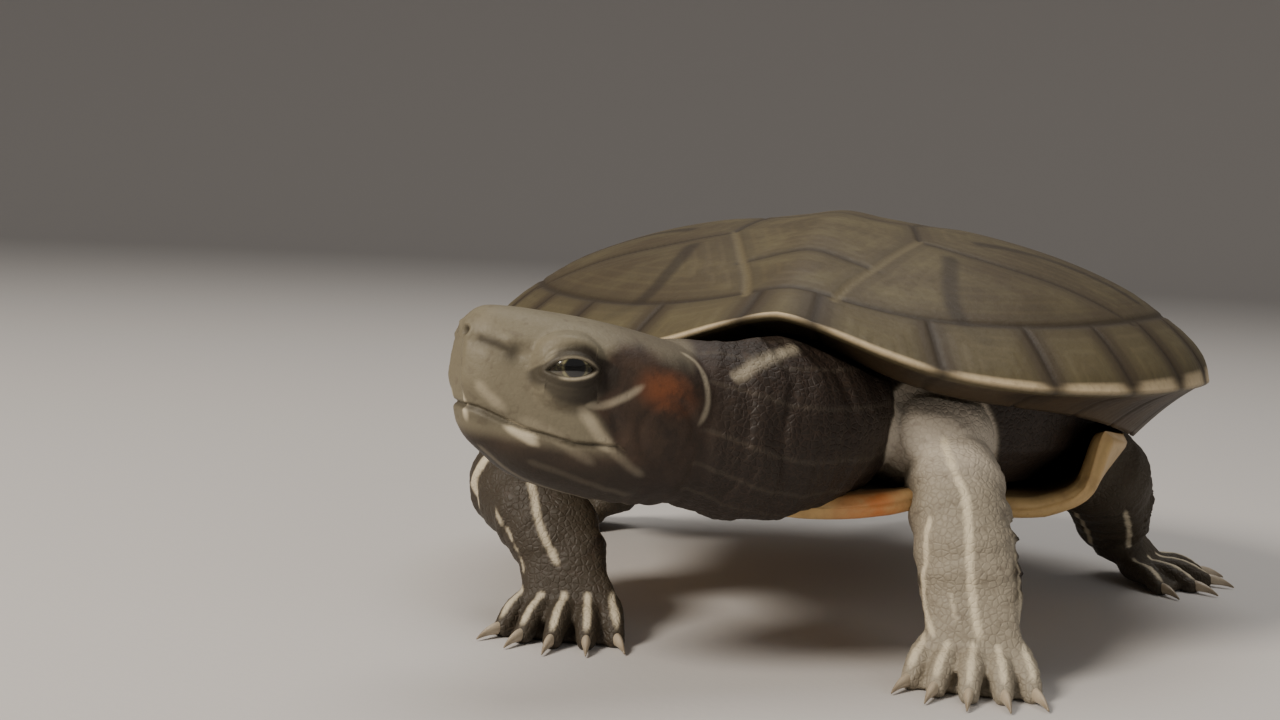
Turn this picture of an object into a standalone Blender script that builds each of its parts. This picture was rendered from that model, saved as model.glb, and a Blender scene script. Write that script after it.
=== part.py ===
"""Young red-eared slider turtle (Trachemys scripta elegans), life size, standing on four feet.

The model faces -Y with its left side at +X and its feet on the plane z = 0. The shell is drawn
in a frame of its own, whose plane z = 0 holds the shell's margin, and is then tipped nose-up by
SHELL_PITCH. Everything is drawn in millimetres and turned into metres by place_all().
"""
import math

import bmesh
import bpy
from mathutils import Euler, Matrix, Vector

# ---------------------------------------------------------------- driving dimensions, in mm
SHELL_LENGTH = 60.0
SHELL_WIDTH = 57.0
SHELL_RISE = 13.0          # dome above the margin
SHELL_WALL = 1.5
MARGIN_HEIGHT = 17.3       # margin above the floor, at mid length
SHELL_PITCH = math.radians(4.0)
NUCHAL_LIFT = 3.9          # how far the front of the margin arches up over the neck
NUCHAL_SPREAD = 0.26        # and over what share of a turn on each side, in radians
BRIDGE_LIFT = 1.3          # how far its middle curls up over the bridge
WIDEST_SHIFT = 2.0         # the shell is widest this far behind its middle
KEEL_HEIGHT = 0.7
KEEL_HALF_WIDTH = 2.2
PLASTRON_DROP = 9.0        # underside of the plastron below the margin
PLASTRON_WALL = 1.6
BRIDGE_HALF_LENGTH = 11.5
BRIDGE_HALF_WIDTH = 16.2   # half width of the plastron where the bridge joins it

HEAD_LENGTH = 15.9
HEAD_YAW = math.radians(52.0)      # turned to the animal's right
HEAD_PITCH = math.radians(9.0)
HEAD_ROOT = (-5.2, -30.4, -2.1)    # centre of the occiput, in the shell's frame
EYE_RADIUS = 1.85
EYE_ALONG = 9.9            # from the occiput
EYE_ASIDE = 3.1
EYE_UP = 0.95
EYE_PROUD = 0.8            # how far the eyeball stands out from the centre of its orbit
CHIN_RECESS = 0.75         # how far the chin lies behind the tip of the beak

SOLE_LEVEL = 0.12          # the soles are sliced level at this height of the draft
TOE_RADIUS = 0.85
TOE_TIP_RADIUS = 0.68
CLAW_LENGTH = 1.5
CLAW_RADIUS = 0.5
CLAW_HEIGHT = 0.68         # of the claw's root over the floor
CLAW_BEND = 0.36           # how far the claw comes down from its root to its tip
GAP = 0.3                  # air left between neighbouring pieces
PARTING = 0.44             # width of the cuts that part the body

FACETS = {                 # grain of the facets, and how many triangles are kept
    "head": (0.2, 1300), "lower_jaw": (0.2, 320), "neck": (0.3, 400), "trunk": (0.4, 800),
    "tail": (0.25, 240), "upper_arm": (0.3, 300), "forearm": (0.25, 260),
    "front_foot": (0.16, 520), "thigh": (0.3, 300), "shank": (0.25, 240),
    "hind_foot": (0.18, 440)}

MM = 0.001

# ---------------------------------------------------------------- colours, linear RGB
OLIVE_SHELL = (0.130, 0.110, 0.055)
CREAM = (0.560, 0.400, 0.220)
SKIN_DARK = (0.055, 0.052, 0.034)
SKIN_OLIVE = (0.190, 0.170, 0.105)
JAW_PALE = (0.280, 0.250, 0.160)
EYE_DARK = (0.030, 0.026, 0.012)
CLAW_HORN = (0.150, 0.120, 0.085)

pieces = []


def clear_scene():
    """Take away whatever the scene starts with."""
    for thing in list(bpy.data.objects):
        bpy.data.objects.remove(thing, do_unlink=True)


def material(name, colour, roughness):
    """A plain surface shared by the pieces that name it."""
    found = bpy.data.materials.get(name)
    if found:
        return found
    made = bpy.data.materials.new(name)
    made.use_nodes = True
    shader = made.node_tree.nodes["Principled BSDF"]
    shader.inputs["Base Color"].default_value = (*colour, 1.0)
    shader.inputs["Roughness"].default_value = roughness
    shader.inputs["Metallic"].default_value = 0.0
    return made


# ---------------------------------------------------------------- modelling helpers
ROUND_END = ((0.85, 0.45), (0.45, 0.8))   # size and reach of the rings that close a limb


def body_point(x, y, z):
    """A point of the shell's frame, tipped nose-up and raised to its place over the floor."""
    turned = Matrix.Rotation(-SHELL_PITCH, 3, "X") @ Vector((x, y, z))
    return turned + Vector((0.0, 0.0, MARGIN_HEIGHT))


def catmull(stations, steps):
    """Rows of numbers read at even steps from the smooth curve through the given rows."""
    rows = []
    last = len(stations) - 1
    for i in range(last):
        p0, p1 = stations[max(i - 1, 0)], stations[i]
        p2, p3 = stations[i + 1], stations[min(i + 2, last)]
        for k in range(steps):
            t = k / steps
            rows.append([
                0.5 * (2 * b + (c - a) * t + (2 * a - 5 * b + 4 * c - d) * t * t
                       + (3 * b - a - 3 * c + d) * t ** 3)
                for a, b, c, d in zip(p0, p1, p2, p3)])
    rows.append(list(stations[last]))
    return rows


def object_from_rings(name, rings):
    """A closed solid skinned over rings of equal point count, with both ends filled."""
    bm = bmesh.new()
    loops = [[bm.verts.new(point) for point in ring] for ring in rings]
    count = len(loops[0])
    for near, far in zip(loops, loops[1:]):
        for i in range(count):
            j = (i + 1) % count
            bm.faces.new((near[i], near[j], far[j], far[i]))
    for loop in (loops[0], loops[-1]):
        centre = sum((v.co for v in loop), Vector()) / count
        hub = bm.verts.new(centre)
        for i in range(count):
            bm.faces.new((loop[i], loop[(i + 1) % count], hub))
    bmesh.ops.recalc_face_normals(bm, faces=bm.faces)
    mesh = bpy.data.meshes.new(name)
    bm.to_mesh(mesh)
    bm.free()
    made = bpy.data.objects.new(name, mesh)
    bpy.context.scene.collection.objects.link(made)
    return made


def superellipse(angle, half_width, up, down, power):
    """Across and up offsets of a rounded section that may be deeper below than above."""
    c, s = math.cos(angle), math.sin(angle)
    across = math.copysign(abs(c) ** (2.0 / power), c) * half_width
    height = math.copysign(abs(s) ** (2.0 / power), s) * (up if s > 0 else down)
    return across, height


def section(centre, axes, half_width, half_depth, sides, power):
    """One ring of a limb, round its centre, with its width and depth along the two axes."""
    ring = []
    for k in range(sides):
        a, b = superellipse(2 * math.pi * k / sides, half_width, half_depth, half_depth, power)
        ring.append(centre + axes[0] * a + axes[1] * b)
    return ring


def tube(name, stations, sides=14, steps=3, grow=0.0, across=(1, 0, 0), power=2.2):
    """A limb: rows of (x, y, z, half width, half depth) skinned along their smooth path."""
    rows = catmull(stations, steps)
    centres = [Vector(row[:3]) for row in rows]
    last = len(rows) - 1
    rings = []
    for i, row in enumerate(rows):
        tangent = (centres[min(i + 1, last)] - centres[max(i - 1, 0)]).normalized()
        side = (Vector(across) - tangent * tangent.dot(Vector(across))).normalized()
        half_width, half_depth = row[3] + grow, row[4] + grow
        reach = min(half_width, half_depth)
        caps = ROUND_END[::-1] if i == 0 else ROUND_END if i == last else ()
        way = -reach if i == 0 else reach
        ends = [(scale, shift * way) for scale, shift in caps]
        for scale, shift in (ends + [(1.0, 0.0)] if i == 0 else [(1.0, 0.0)] + ends):
            rings.append(section(centres[i] + tangent * shift, (side, tangent.cross(side)),
                                 half_width * scale, half_depth * scale, sides, power))
    return object_from_rings(name, rings)


def ball(name, centre, radius, segments=20):
    """A round solid."""
    bm = bmesh.new()
    bmesh.ops.create_uvsphere(bm, u_segments=segments, v_segments=segments // 2, radius=radius)
    bmesh.ops.translate(bm, verts=bm.verts, vec=centre)
    mesh = bpy.data.meshes.new(name)
    bm.to_mesh(mesh)
    bm.free()
    made = bpy.data.objects.new(name, mesh)
    bpy.context.scene.collection.objects.link(made)
    return made


def block(name, centre, size):
    """A plain box, used for cutting."""
    bm = bmesh.new()
    bmesh.ops.create_cube(bm, size=1.0)
    bmesh.ops.scale(bm, verts=bm.verts, vec=size)
    bmesh.ops.translate(bm, verts=bm.verts, vec=centre)
    mesh = bpy.data.meshes.new(name)
    bm.to_mesh(mesh)
    bm.free()
    made = bpy.data.objects.new(name, mesh)
    bpy.context.scene.collection.objects.link(made)
    return made


def apply_modifiers(target):
    """Swap an object's mesh for the one that its modifiers make."""
    graph = bpy.context.evaluated_depsgraph_get()
    result = bpy.data.meshes.new_from_object(target.evaluated_get(graph))
    target.modifiers.clear()
    target.data = result


def middle(target):
    """Mean of an object's points."""
    total = sum((v.co for v in target.data.vertices), Vector())
    return total / len(target.data.vertices)


def combine(target, other, operation):
    """Cut the other solid out of the target, or join it on, and throw the other away."""
    step = target.modifiers.new("combine", "BOOLEAN")
    step.operation = operation
    step.solver = "EXACT"
    step.use_self = True
    step.object = other
    apply_modifiers(target)
    bpy.data.objects.remove(other, do_unlink=True)
    return target


def weld(target, distance=0.004):
    """Merge points that a cut left almost on top of each other."""
    bm = bmesh.new()
    bm.from_mesh(target.data)
    bmesh.ops.remove_doubles(bm, verts=bm.verts, dist=distance)
    bmesh.ops.dissolve_degenerate(bm, edges=bm.edges, dist=distance)
    bm.to_mesh(target.data)
    bm.free()


def bodies_of(bm):
    """The separate bodies of a mesh, as sets of vertices, smallest first."""
    left = set(bm.verts)
    bodies = []
    while left:
        seed = left.pop()
        body, front = {seed}, [seed]
        while front:
            for edge in front.pop().link_edges:
                for v in edge.verts:
                    if v not in body:
                        body.add(v)
                        front.append(v)
        left -= body
        bodies.append(body)
    return sorted(bodies, key=len)


def drop_crumbs(target):
    """Keep only the biggest body of a piece that a cut may have left crumbs of."""
    bm = bmesh.new()
    bm.from_mesh(target.data)
    for crumb in bodies_of(bm)[:-1]:
        bmesh.ops.delete(bm, geom=list(crumb), context="VERTS")
    bm.to_mesh(target.data)
    bm.free()


def even_out(target, grain, budget):
    """Skin a cut piece afresh in even facets of the given grain, then thin it to the budget."""
    skinned = target.modifiers.new("skin", "REMESH")
    skinned.mode = "VOXEL"
    skinned.voxel_size = grain
    apply_modifiers(target)
    soften = target.modifiers.new("soften", "SMOOTH")
    soften.factor = 0.5
    soften.iterations = 2
    apply_modifiers(target)
    drop_crumbs(target)
    thin = target.modifiers.new("thin", "DECIMATE")
    thin.ratio = budget / sum(len(face.vertices) - 2 for face in target.data.polygons)
    thin.use_collapse_triangulate = True
    apply_modifiers(target)


def keep(target, surface):
    """List a finished piece and give it its surface."""
    target.data.materials.clear()
    target.data.materials.append(surface)
    target.data.shade_smooth()
    target.data.set_sharp_from_angle(angle=math.radians(38))
    pieces.append(target)
    return target


# ---------------------------------------------------------------- shell
def margin_point(a):
    """Plan of the shell's edge; a is 0 at the nuchal scute and pi at the tail."""
    s = math.sin(a)
    x = SHELL_WIDTH / 2 * math.copysign(abs(s) ** 0.92, s)
    y = -SHELL_LENGTH / 2 * math.cos(a) + WIDEST_SHIFT * s * s
    return x, y


def rear_weight(a):
    """1 over the tail, fading to 0 at the middle of the shell."""
    return max(0.0, -math.cos(a))


def margin_lift(a):
    """Height of the edge: arched over the neck, curled up over the bridge and the tail."""
    front = abs(math.atan2(math.sin(a), math.cos(a))) / NUCHAL_SPREAD
    arch = NUCHAL_LIFT * math.exp(-front ** 1.5)
    return 0.7 + arch + BRIDGE_LIFT * math.sin(a) ** 6 + 0.8 * rear_weight(a) ** 8


def serration(a):
    """Shallow notches between the rear marginal scutes."""
    notch = abs(math.sin(a * 12.5)) ** 0.7
    return 1.0 - 0.014 * rear_weight(a) * (1.0 - notch)


def carapace_point(r, a):
    """Outer face of the carapace at plan radius r (1 at the edge) and plan angle a."""
    x_edge, y_edge = margin_point(a)
    reach = r * serration(a) if r > 0.9 else r
    x = reach * x_edge
    y = WIDEST_SHIFT + reach * (y_edge - WIDEST_SHIFT)
    lateral = math.sin(a) ** 2
    power = 1.05 - 0.40 * lateral
    dome = SHELL_RISE * max(0.0, 1.0 - r ** 2.3) ** power
    keel = KEEL_HEIGHT * math.exp(-(x / KEEL_HALF_WIDTH) ** 2) * (1.0 - r ** 4)
    return Vector((x, y, dome + keel + margin_lift(a) * r ** 4))


def roof_point(r, a, depth):
    """The point that lies depth below the carapace's outer face, on the inside."""
    thicker_edge = depth * (1.0 + 0.5 * r ** 3)
    return carapace_point(r, a) * (1.0 - depth * 0.012) - Vector((0, 0, thicker_edge))


def underside_point(a):
    """Inner border of the marginal scutes' lower faces: low at the bridge, level at the ends."""
    x_edge, y_edge = margin_point(a)
    lateral = math.sin(a) ** 2
    inward = 0.84 - 0.03 * lateral
    drop = 1.5 + 3.4 * lateral ** 3
    x = inward * x_edge
    y = WIDEST_SHIFT + inward * (y_edge - WIDEST_SHIFT)
    return Vector((x, y, margin_lift(a) - drop))


def shell_rings(angles=40):
    """Rings from the dome's top over the edge and back up inside to the roof."""
    outer = [0.06, 0.22, 0.4, 0.56, 0.7, 0.82, 0.92, 0.98, 1.0]
    inner = [0.80, 0.68, 0.5, 0.3, 0.06]
    turn = [2 * math.pi * k / angles for k in range(angles)]
    rings = [[carapace_point(r, a) for a in turn] for r in outer]
    rings.append([carapace_point(0.99, a) * 0.5 + carapace_point(1.0, a) * 0.5
                  - Vector((0, 0, 0.9)) for a in turn])
    rings.append([underside_point(a) for a in turn])
    for r in inner:
        rings.append([roof_point(r, a, SHELL_WALL) for a in turn])
    return rings


def build_carapace():
    """The domed upper shell with its flared, slightly toothed margin."""
    rings = [[body_point(*p) for p in ring] for ring in shell_rings()]
    return object_from_rings("carapace", rings)


PLASTRON_OUTLINE = (      # (y, half width) from the gular edge to the anal notch
    (-26.6, 4.2), (-25.8, 6.2), (-23.5, 8.9), (-20.5, 10.9), (-16.0, 12.8), (-12.8, 14.0),
    (-BRIDGE_HALF_LENGTH, BRIDGE_HALF_WIDTH), (BRIDGE_HALF_LENGTH, BRIDGE_HALF_WIDTH),
    (12.8, 14.4), (17.0, 14.0), (21.0, 11.8), (24.6, 8.0), (26.2, 4.4))
ANAL_NOTCH_Y = 25.0


def front_upturn(x, y):
    """How far the sides of the plastron's front lobe curl up."""
    return 0.012 * x * x * max(0.0, min(1.0, (-13.0 - y) / 8.0))


def plate_from_outline(name, outline, top, bottom, bevel):
    """A level plate with softened edges, in the shell's frame."""
    bm = bmesh.new()
    lower = [bm.verts.new((x, y, bottom)) for x, y in outline]
    upper = [bm.verts.new((x, y, top)) for x, y in outline]
    bm.faces.new(lower)
    bm.faces.new(upper)
    for i in range(len(outline)):
        j = (i + 1) % len(outline)
        bm.faces.new((lower[i], lower[j], upper[j], upper[i]))
    rim = [e for e in bm.edges if abs(e.verts[0].co.z - e.verts[1].co.z) < 0.01]
    bmesh.ops.bevel(bm, geom=rim, offset=bevel, segments=2, affect="EDGES", profile=0.6)
    bmesh.ops.recalc_face_normals(bm, faces=bm.faces)
    for v in bm.verts:
        x, y, z = v.co
        v.co = body_point(x, y, z + front_upturn(x, y))
    mesh = bpy.data.meshes.new(name)
    bm.to_mesh(mesh)
    bm.free()
    made = bpy.data.objects.new(name, mesh)
    bpy.context.scene.collection.objects.link(made)
    return made


def build_plastron():
    """The flat lower shell, with the notch between its two anal scutes."""
    right = [(half, y) for y, half in PLASTRON_OUTLINE]
    left = [(-x, y) for x, y in reversed(right)]
    return plate_from_outline("plastron", right + [(0.0, ANAL_NOTCH_Y)] + left,
                              -PLASTRON_DROP + PLASTRON_WALL, -PLASTRON_DROP, 0.45)


def build_bridge(side, name):
    """The wall that joins the plastron to the marginal scutes on one side."""
    rows = []
    for k in range(9):
        y = -BRIDGE_HALF_LENGTH - 1.2 + k * (2 * BRIDGE_HALF_LENGTH + 2.4) / 8
        waist = 1.0 - 0.06 * abs(y / BRIDGE_HALF_LENGTH) ** 4
        angle = math.acos(max(-1.0, min(1.0, -(y - WIDEST_SHIFT) / (SHELL_LENGTH / 2))))
        border = underside_point(angle)
        low_x = BRIDGE_HALF_WIDTH + GAP
        top_x = border.x - 0.2
        top_z = border.z - GAP
        low_z = -PLASTRON_DROP
        profile = [(low_x, low_z + 0.25), (low_x + 1.6, low_z + 0.5 * waist),
                   ((low_x + top_x) / 2 + 0.9, (low_z + top_z) / 2 - 0.5), (top_x, top_z - 0.55),
                   (top_x - 0.5, top_z), (top_x - 1.9, top_z - 0.1),
                   ((low_x + top_x) / 2 - 0.5, (low_z + top_z) / 2 + 1.2),
                   (low_x + 0.9, low_z + PLASTRON_WALL + 0.2), (low_x, low_z + PLASTRON_WALL)]
        rows.append([body_point(side * x, y, z) for x, z in profile])
    return object_from_rings(name, rows)


# ---------------------------------------------------------------- trunk, neck and tail
def build_trunk(name="trunk"):
    """The soft body that fills the shell, with walls of skin in the openings front and back."""
    angles = 32
    turn = [2 * math.pi * k / angles for k in range(angles)]
    rings = []
    roof = SHELL_WALL + GAP + 0.25
    for r in (0.08, 0.34, 0.56, 0.73):
        rings.append([roof_point(r, a, roof) for a in turn])
    for r, fraction in ((0.765, 0.45), (0.75, 0.75), (0.66, 0.96), (0.4, 1.0)):
        ring = []
        for a in turn:
            top = carapace_point(0.73, a).z - 2.6
            floor = -PLASTRON_DROP + PLASTRON_WALL + GAP + 0.1
            narrow = 1.0 - 0.16 * math.sin(a) ** 4 * fraction ** 2
            x_edge, y_edge = margin_point(a)
            x = r * narrow * x_edge
            y = WIDEST_SHIFT + r * (y_edge - WIDEST_SHIFT)
            ring.append(Vector((x, y, top + (floor - top) * fraction)))
        rings.append(ring)
    return object_from_rings(name, [[body_point(*p) for p in ring] for ring in rings])


NECK_STATIONS = (         # shell frame: x, y, z, half width, half depth
    (0.6, -14.0, -2.2, 6.2, 5.0), (0.4, -20.0, -2.3, 7.0, 5.6), (-0.5, -25.2, -2.8, 6.7, 6.1),
    (-2.9, -28.9, -3.0, 5.9, 6.1), (-6.2, -31.2, -2.6, 5.0, 5.2))


def build_neck(grow=0.0, name="neck"):
    """The neck, curving out of its collar of loose skin to the back of the turned head."""
    rows = []
    for x, y, z, half_width, half_depth in NECK_STATIONS:
        rows.append((*body_point(x, y, z), half_width, half_depth))
    return tube(name, rows, sides=20, steps=3, grow=grow, power=2.1)


TAIL_STATIONS = (
    (0.0, 19.0, -3.6, 3.6, 3.2),
    (0.2, 25.5, -4.4, 2.5, 2.3),
    (1.2, 30.5, -6.0, 1.5, 1.4),
    (2.9, 34.6, -7.6, 0.9, 0.85),
    (4.6, 37.6, -8.6, 0.5, 0.5))


def build_tail(grow=0.0, name="tail"):
    """The short tapering tail."""
    rows = []
    for x, y, z, half_width, half_depth in TAIL_STATIONS:
        rows.append((*body_point(x, y, z), half_width, half_depth))
    return tube(name, rows, sides=12, steps=3, grow=grow)


# ---------------------------------------------------------------- head
def head_matrix():
    """Head frame: +X from the occiput to the snout, +Y to the animal's left, +Z up."""
    root = body_point(*HEAD_ROOT)
    heading = -math.pi / 2 - HEAD_YAW
    turn = Euler((0.0, -HEAD_PITCH, heading), "XYZ").to_matrix().to_4x4()
    return Matrix.Translation(root) @ turn


HEAD_STATIONS = (         # from the occiput: along, half width, top, bottom
    (-1.6, 4.2, 2.8, 5.4), (0.0, 4.9, 3.5, 6.0), (2.6, 5.8, 4.0, 6.5), (5.6, 5.75, 4.3, 6.6),
    (8.4, 5.1, 4.4, 6.4), (10.8, 4.3, 4.35, 6.0), (13.0, 3.4, 4.25, 5.1),
    (14.8, 2.5, 3.95, 4.25), (15.8, 1.4, 3.0, 3.2))


def chin_recess(s, height):
    """How far the front of the head falls back below the tip of the beak."""
    front = max(0.0, min(1.0, (s - 11.5) / 3.5))
    low = max(0.0, min(1.0, (-0.4 - height) / 2.2))
    return CHIN_RECESS * front * low * low * (3.0 - 2.0 * low)


def build_head_mass(grow=0.0, name="head"):
    """The whole head before the jaws are parted: a blunt wedge, widest at the eardrums."""
    place = head_matrix()
    rings = []
    for row in catmull(HEAD_STATIONS, 2):
        s, half_width, up, down = row
        s += grow * (2.0 * s / HEAD_LENGTH - 1.0)
        power = 2.2 + 0.5 * math.sin(math.pi * max(0.0, min(1.0, s / HEAD_LENGTH)))
        ring = []
        for k in range(28):
            a, b = superellipse(2 * math.pi * k / 28, half_width + grow, up + grow, down + grow,
                                power)
            ring.append(place @ Vector((s - chin_recess(s, b), a, b)))
        rings.append(ring)
    return object_from_rings(name, rings)


MOUTH_LINE = (            # in the head frame: along, up
    (17.0, -2.1), (14.6, -2.15), (12.0, -2.8), (9.0, -3.1), (6.6, -2.8), (5.4, -3.6),
    (4.6, -7.5))


def jaw_block(shift):
    """A slab in front of and below the mouth line, moved out across that line by shift."""
    place = head_matrix()
    rows = [Vector((s, 0.0, z)) for s, z in MOUTH_LINE]
    outline = []
    for i, row in enumerate(rows):
        run = (rows[min(i + 1, len(rows) - 1)] - rows[max(i - 1, 0)]).normalized()
        outline.append(row + Vector((run.z, 0.0, -run.x)) * shift)
    outline.append(Vector((17.0, 0.0, outline[-1].z)))
    rings = [[place @ (point + Vector((0, y, 0))) for point in outline] for y in (9.0, -9.0)]
    return object_from_rings("jaw_block", rings)


def eye_point(side, outward):
    """A point on one eye's line of sight, outward from the centre of its orbit."""
    sight = Vector((0.25, side, 0.25)).normalized()
    return head_matrix() @ (Vector((EYE_ALONG, side * EYE_ASIDE, EYE_UP)) + sight * outward)


def build_head():
    """Skull with its beak, the lower jaw and the two eyes in their sockets."""
    mass = build_head_mass()
    for side, label in ((1, "left"), (-1, "right")):
        lids = ball("lids", eye_point(side, 0.15), EYE_RADIUS + 0.75, 18)
        socket = ball("socket", eye_point(side, EYE_PROUD), EYE_RADIUS + GAP, 18)
        combine(mass, lids, "UNION")
        combine(mass, socket, "DIFFERENCE")
        eye = ball("eye_" + label, eye_point(side, EYE_PROUD), EYE_RADIUS, 16)
        keep(eye, material("eye", EYE_DARK, 0.1))
    jaw = mass.copy()
    jaw.data = mass.data.copy()
    jaw.name = "lower_jaw"
    bpy.context.scene.collection.objects.link(jaw)
    combine(mass, jaw_block(PARTING / 2), "DIFFERENCE")
    combine(jaw, jaw_block(-PARTING / 2), "INTERSECT")
    keep(mass, material("head_skin", SKIN_OLIVE, 0.5))
    keep(jaw, material("jaw_skin", JAW_PALE, 0.5))


# ---------------------------------------------------------------- legs
UPPER_ARM = {
    "left": ((8.8, -11.0, 14.6, 4.4, 4.2), (9.0, -16.2, 14.9, 4.3, 4.0),
             (9.4, -20.0, 15.4, 4.2, 3.3)),
    "right": ((-9.4, -10.5, 14.2, 4.4, 4.2), (-15.4, -14.0, 12.8, 4.1, 3.9),
              (-20.8, -17.3, 10.1, 3.6, 3.5))}
FOREARM = {
    "left": ((11.1, -21.2, 13.0, 3.3, 3.3), (12.2, -23.4, 9.0, 3.25, 2.8),
             (12.9, -24.2, 6.3, 3.35, 2.1)),
    "right": ((-20.8, -18.1, 9.6, 3.5, 3.4), (-18.3, -20.7, 8.4, 3.4, 3.0),
              (-15.9, -22.4, 6.4, 3.3, 2.2))}
THIGH = ((9.6, 14.0, 13.0, 5.0, 4.8), (15.2, 11.4, 12.6, 4.9, 4.6), (20.2, 9.6, 10.6, 4.1, 4.0))
SHANK = ((21.0, 9.8, 10.0, 3.9, 3.8), (21.8, 13.4, 7.4, 3.4, 3.1), (22.2, 16.6, 4.6, 2.9, 2.3))


class Foot:
    """Where one foot stands and how its toes spread."""

    def __init__(self, wrist, ball_point, heading, spread, lengths, palm, web):
        self.wrist = wrist            # x, y, z, half width, half depth
        self.ball_point = ball_point  # where the toes part, over the floor
        self.heading = heading        # direction of the middle of the fan, from +X
        self.spread = spread          # angle between the first and last toe
        self.lengths = lengths        # of each toe, from the ball to its tip
        self.palm = palm              # half width of the ball of the foot
        self.web = web                # how far the web follows the toes, as a fraction

    def toe_ray(self, i):
        """Root and tip of toe i on the floor plane."""
        share = i / (len(self.lengths) - 1) - 0.5
        angle = self.heading - self.spread * share
        forward = Vector((math.cos(self.heading), math.sin(self.heading), 0.0))
        across = Vector((forward.y, -forward.x, 0.0))
        middle_point = Vector(self.ball_point)
        turn = math.copysign(1.7, self.spread)
        root = middle_point + across * self.palm * turn * share - forward * abs(share) * 1.2
        way = Vector((math.cos(angle), math.sin(angle), 0.0))
        tip = Vector((root.x, root.y, 0.0)) + way * self.lengths[i]
        tip.z = TOE_TIP_RADIUS - 0.08
        return root, tip, way


FRONT_FOOT = {
    "left": Foot((13.0, -24.3, 5.9, 3.3, 2.0), (13.4, -26.1, 2.5), math.radians(-88),
                 math.radians(-50), (2.3, 3.2, 3.5, 3.3, 2.6), 3.3, 0.62),
    "right": Foot((-15.6, -22.6, 5.9, 3.2, 2.0), (-14.4, -24.7, 2.5), math.radians(-88),
                  math.radians(58), (2.3, 3.2, 3.5, 3.3, 2.6), 3.3, 0.62)}
HIND_FOOT = Foot((22.6, 17.8, 3.6, 2.7, 2.1), (25.6, 16.8, 1.5), math.radians(-20),
                 math.radians(66), (3.9, 4.7, 4.7, 4.0), 3.4, 0.8)


def mirrored(foot):
    """The same foot on the animal's other side."""
    wrist, point = foot.wrist, foot.ball_point
    return Foot((-wrist[0], *wrist[1:]), (-point[0], *point[1:]), math.pi - foot.heading,
                -foot.spread, foot.lengths, foot.palm, foot.web)


def build_sole(foot, name):
    """Wrist, palm and web as one tapering blade that lies down on the floor."""
    forward = Vector((math.cos(foot.heading), math.sin(foot.heading), 0.0))
    across = Vector((forward.y, -forward.x, 0.0))
    point = Vector(foot.ball_point)
    reach = foot.lengths[len(foot.lengths) // 2] * foot.web
    edge = point + forward * reach
    rows = [foot.wrist,
            (*(Vector(foot.wrist[:3]) * 0.4 + point * 0.6), foot.palm * 0.92, 1.35),
            (*point, foot.palm * 1.1, 1.05),
            (edge.x - forward.x * reach * 0.45, edge.y - forward.y * reach * 0.45, 0.75,
             foot.palm * 1.28, 0.62),
            (edge.x - forward.x * 0.5, edge.y - forward.y * 0.5, 0.45, foot.palm * 1.22, 0.40)]
    return tube(name, rows, sides=14, steps=2, across=tuple(across), power=2.4)


def build_claw(name, tip, way):
    """A hooked claw leaving the end of a toe and bending down to the floor."""
    start = tip + way * (0.8 * TOE_TIP_RADIUS + GAP)
    axes = (Vector((way.y, -way.x, 0.0)), Vector((0, 0, 1)))
    rings = []
    for k in range(4):
        t = k / 3
        centre = start + way * (t * CLAW_LENGTH)
        centre.z = CLAW_HEIGHT - CLAW_BEND * t * t
        radius = CLAW_RADIUS * (1.0 - 0.85 * t ** 1.5)
        rings.append(section(centre, axes, 0.8 * radius, radius, 6, 2.0))
    return object_from_rings(name, rings)


def build_foot(foot, name, label, surface):
    """One webbed foot with the toes that leave it, and their claws as pieces of their own."""
    sole = build_sole(foot, name)
    claws = []
    for i in range(len(foot.lengths)):
        root, tip, way = foot.toe_ray(i)
        back = root * 0.55 + Vector(foot.wrist[:3]) * 0.45
        knuckle = root * 0.45 + tip * 0.55 + Vector((0, 0, 0.35))
        rows = [(*back, TOE_RADIUS, TOE_RADIUS), (*root, TOE_RADIUS * 1.08, TOE_RADIUS * 1.05),
                (*knuckle, TOE_RADIUS, TOE_RADIUS), (*tip, TOE_TIP_RADIUS, TOE_TIP_RADIUS)]
        side = (way.y, -way.x, 0.0)
        combine(sole, tube("toe", rows, sides=8, steps=1, across=side), "UNION")
        claws.append(build_claw(label % (i + 1), tip, way))
    ground = block("ground", (foot.wrist[0], foot.wrist[1], -5.0), (60, 60, 10))
    combine(sole, ground, "DIFFERENCE")
    weld(sole)
    keep(sole, surface)
    for claw in claws:
        keep(claw, material("claw_horn", CLAW_HORN, 0.35))
    return sole


def copy_grown(target, grow):
    """A copy of a piece, swollen outward along its normals, for cutting its neighbours."""
    copy = target.copy()
    copy.data = target.data.copy()
    bpy.context.scene.collection.objects.link(copy)
    normals = [v.normal.copy() for v in copy.data.vertices]
    for v, normal in zip(copy.data.vertices, normals):
        v.co += normal * grow
    return copy


def build_front_leg(side):
    """Upper arm, forearm and webbed forefoot of one side, parted at elbow and wrist."""
    skin = material("leg_skin", SKIN_OLIVE, 0.55)
    foot = FRONT_FOOT[side]
    upper = tube("upper_arm_" + side, UPPER_ARM[side], sides=16, steps=3)
    fore = tube("forearm_" + side, FOREARM[side], sides=16, steps=3)
    sole = build_foot(foot, "front_foot_" + side, "front_claw_" + side + "_%d", skin)
    combine(fore, tube("elbow", UPPER_ARM[side], sides=16, steps=3, grow=PARTING), "DIFFERENCE")
    combine(sole, tube("wrist", FOREARM[side], sides=16, steps=3, grow=PARTING), "DIFFERENCE")
    weld(sole)
    weld(fore)
    keep(upper, skin)
    keep(fore, skin)
    return upper


def flip(rows, sign):
    """Station rows for the animal's left (sign 1) or right (sign -1)."""
    return [(row[0] * sign, *row[1:]) for row in rows]


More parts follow.
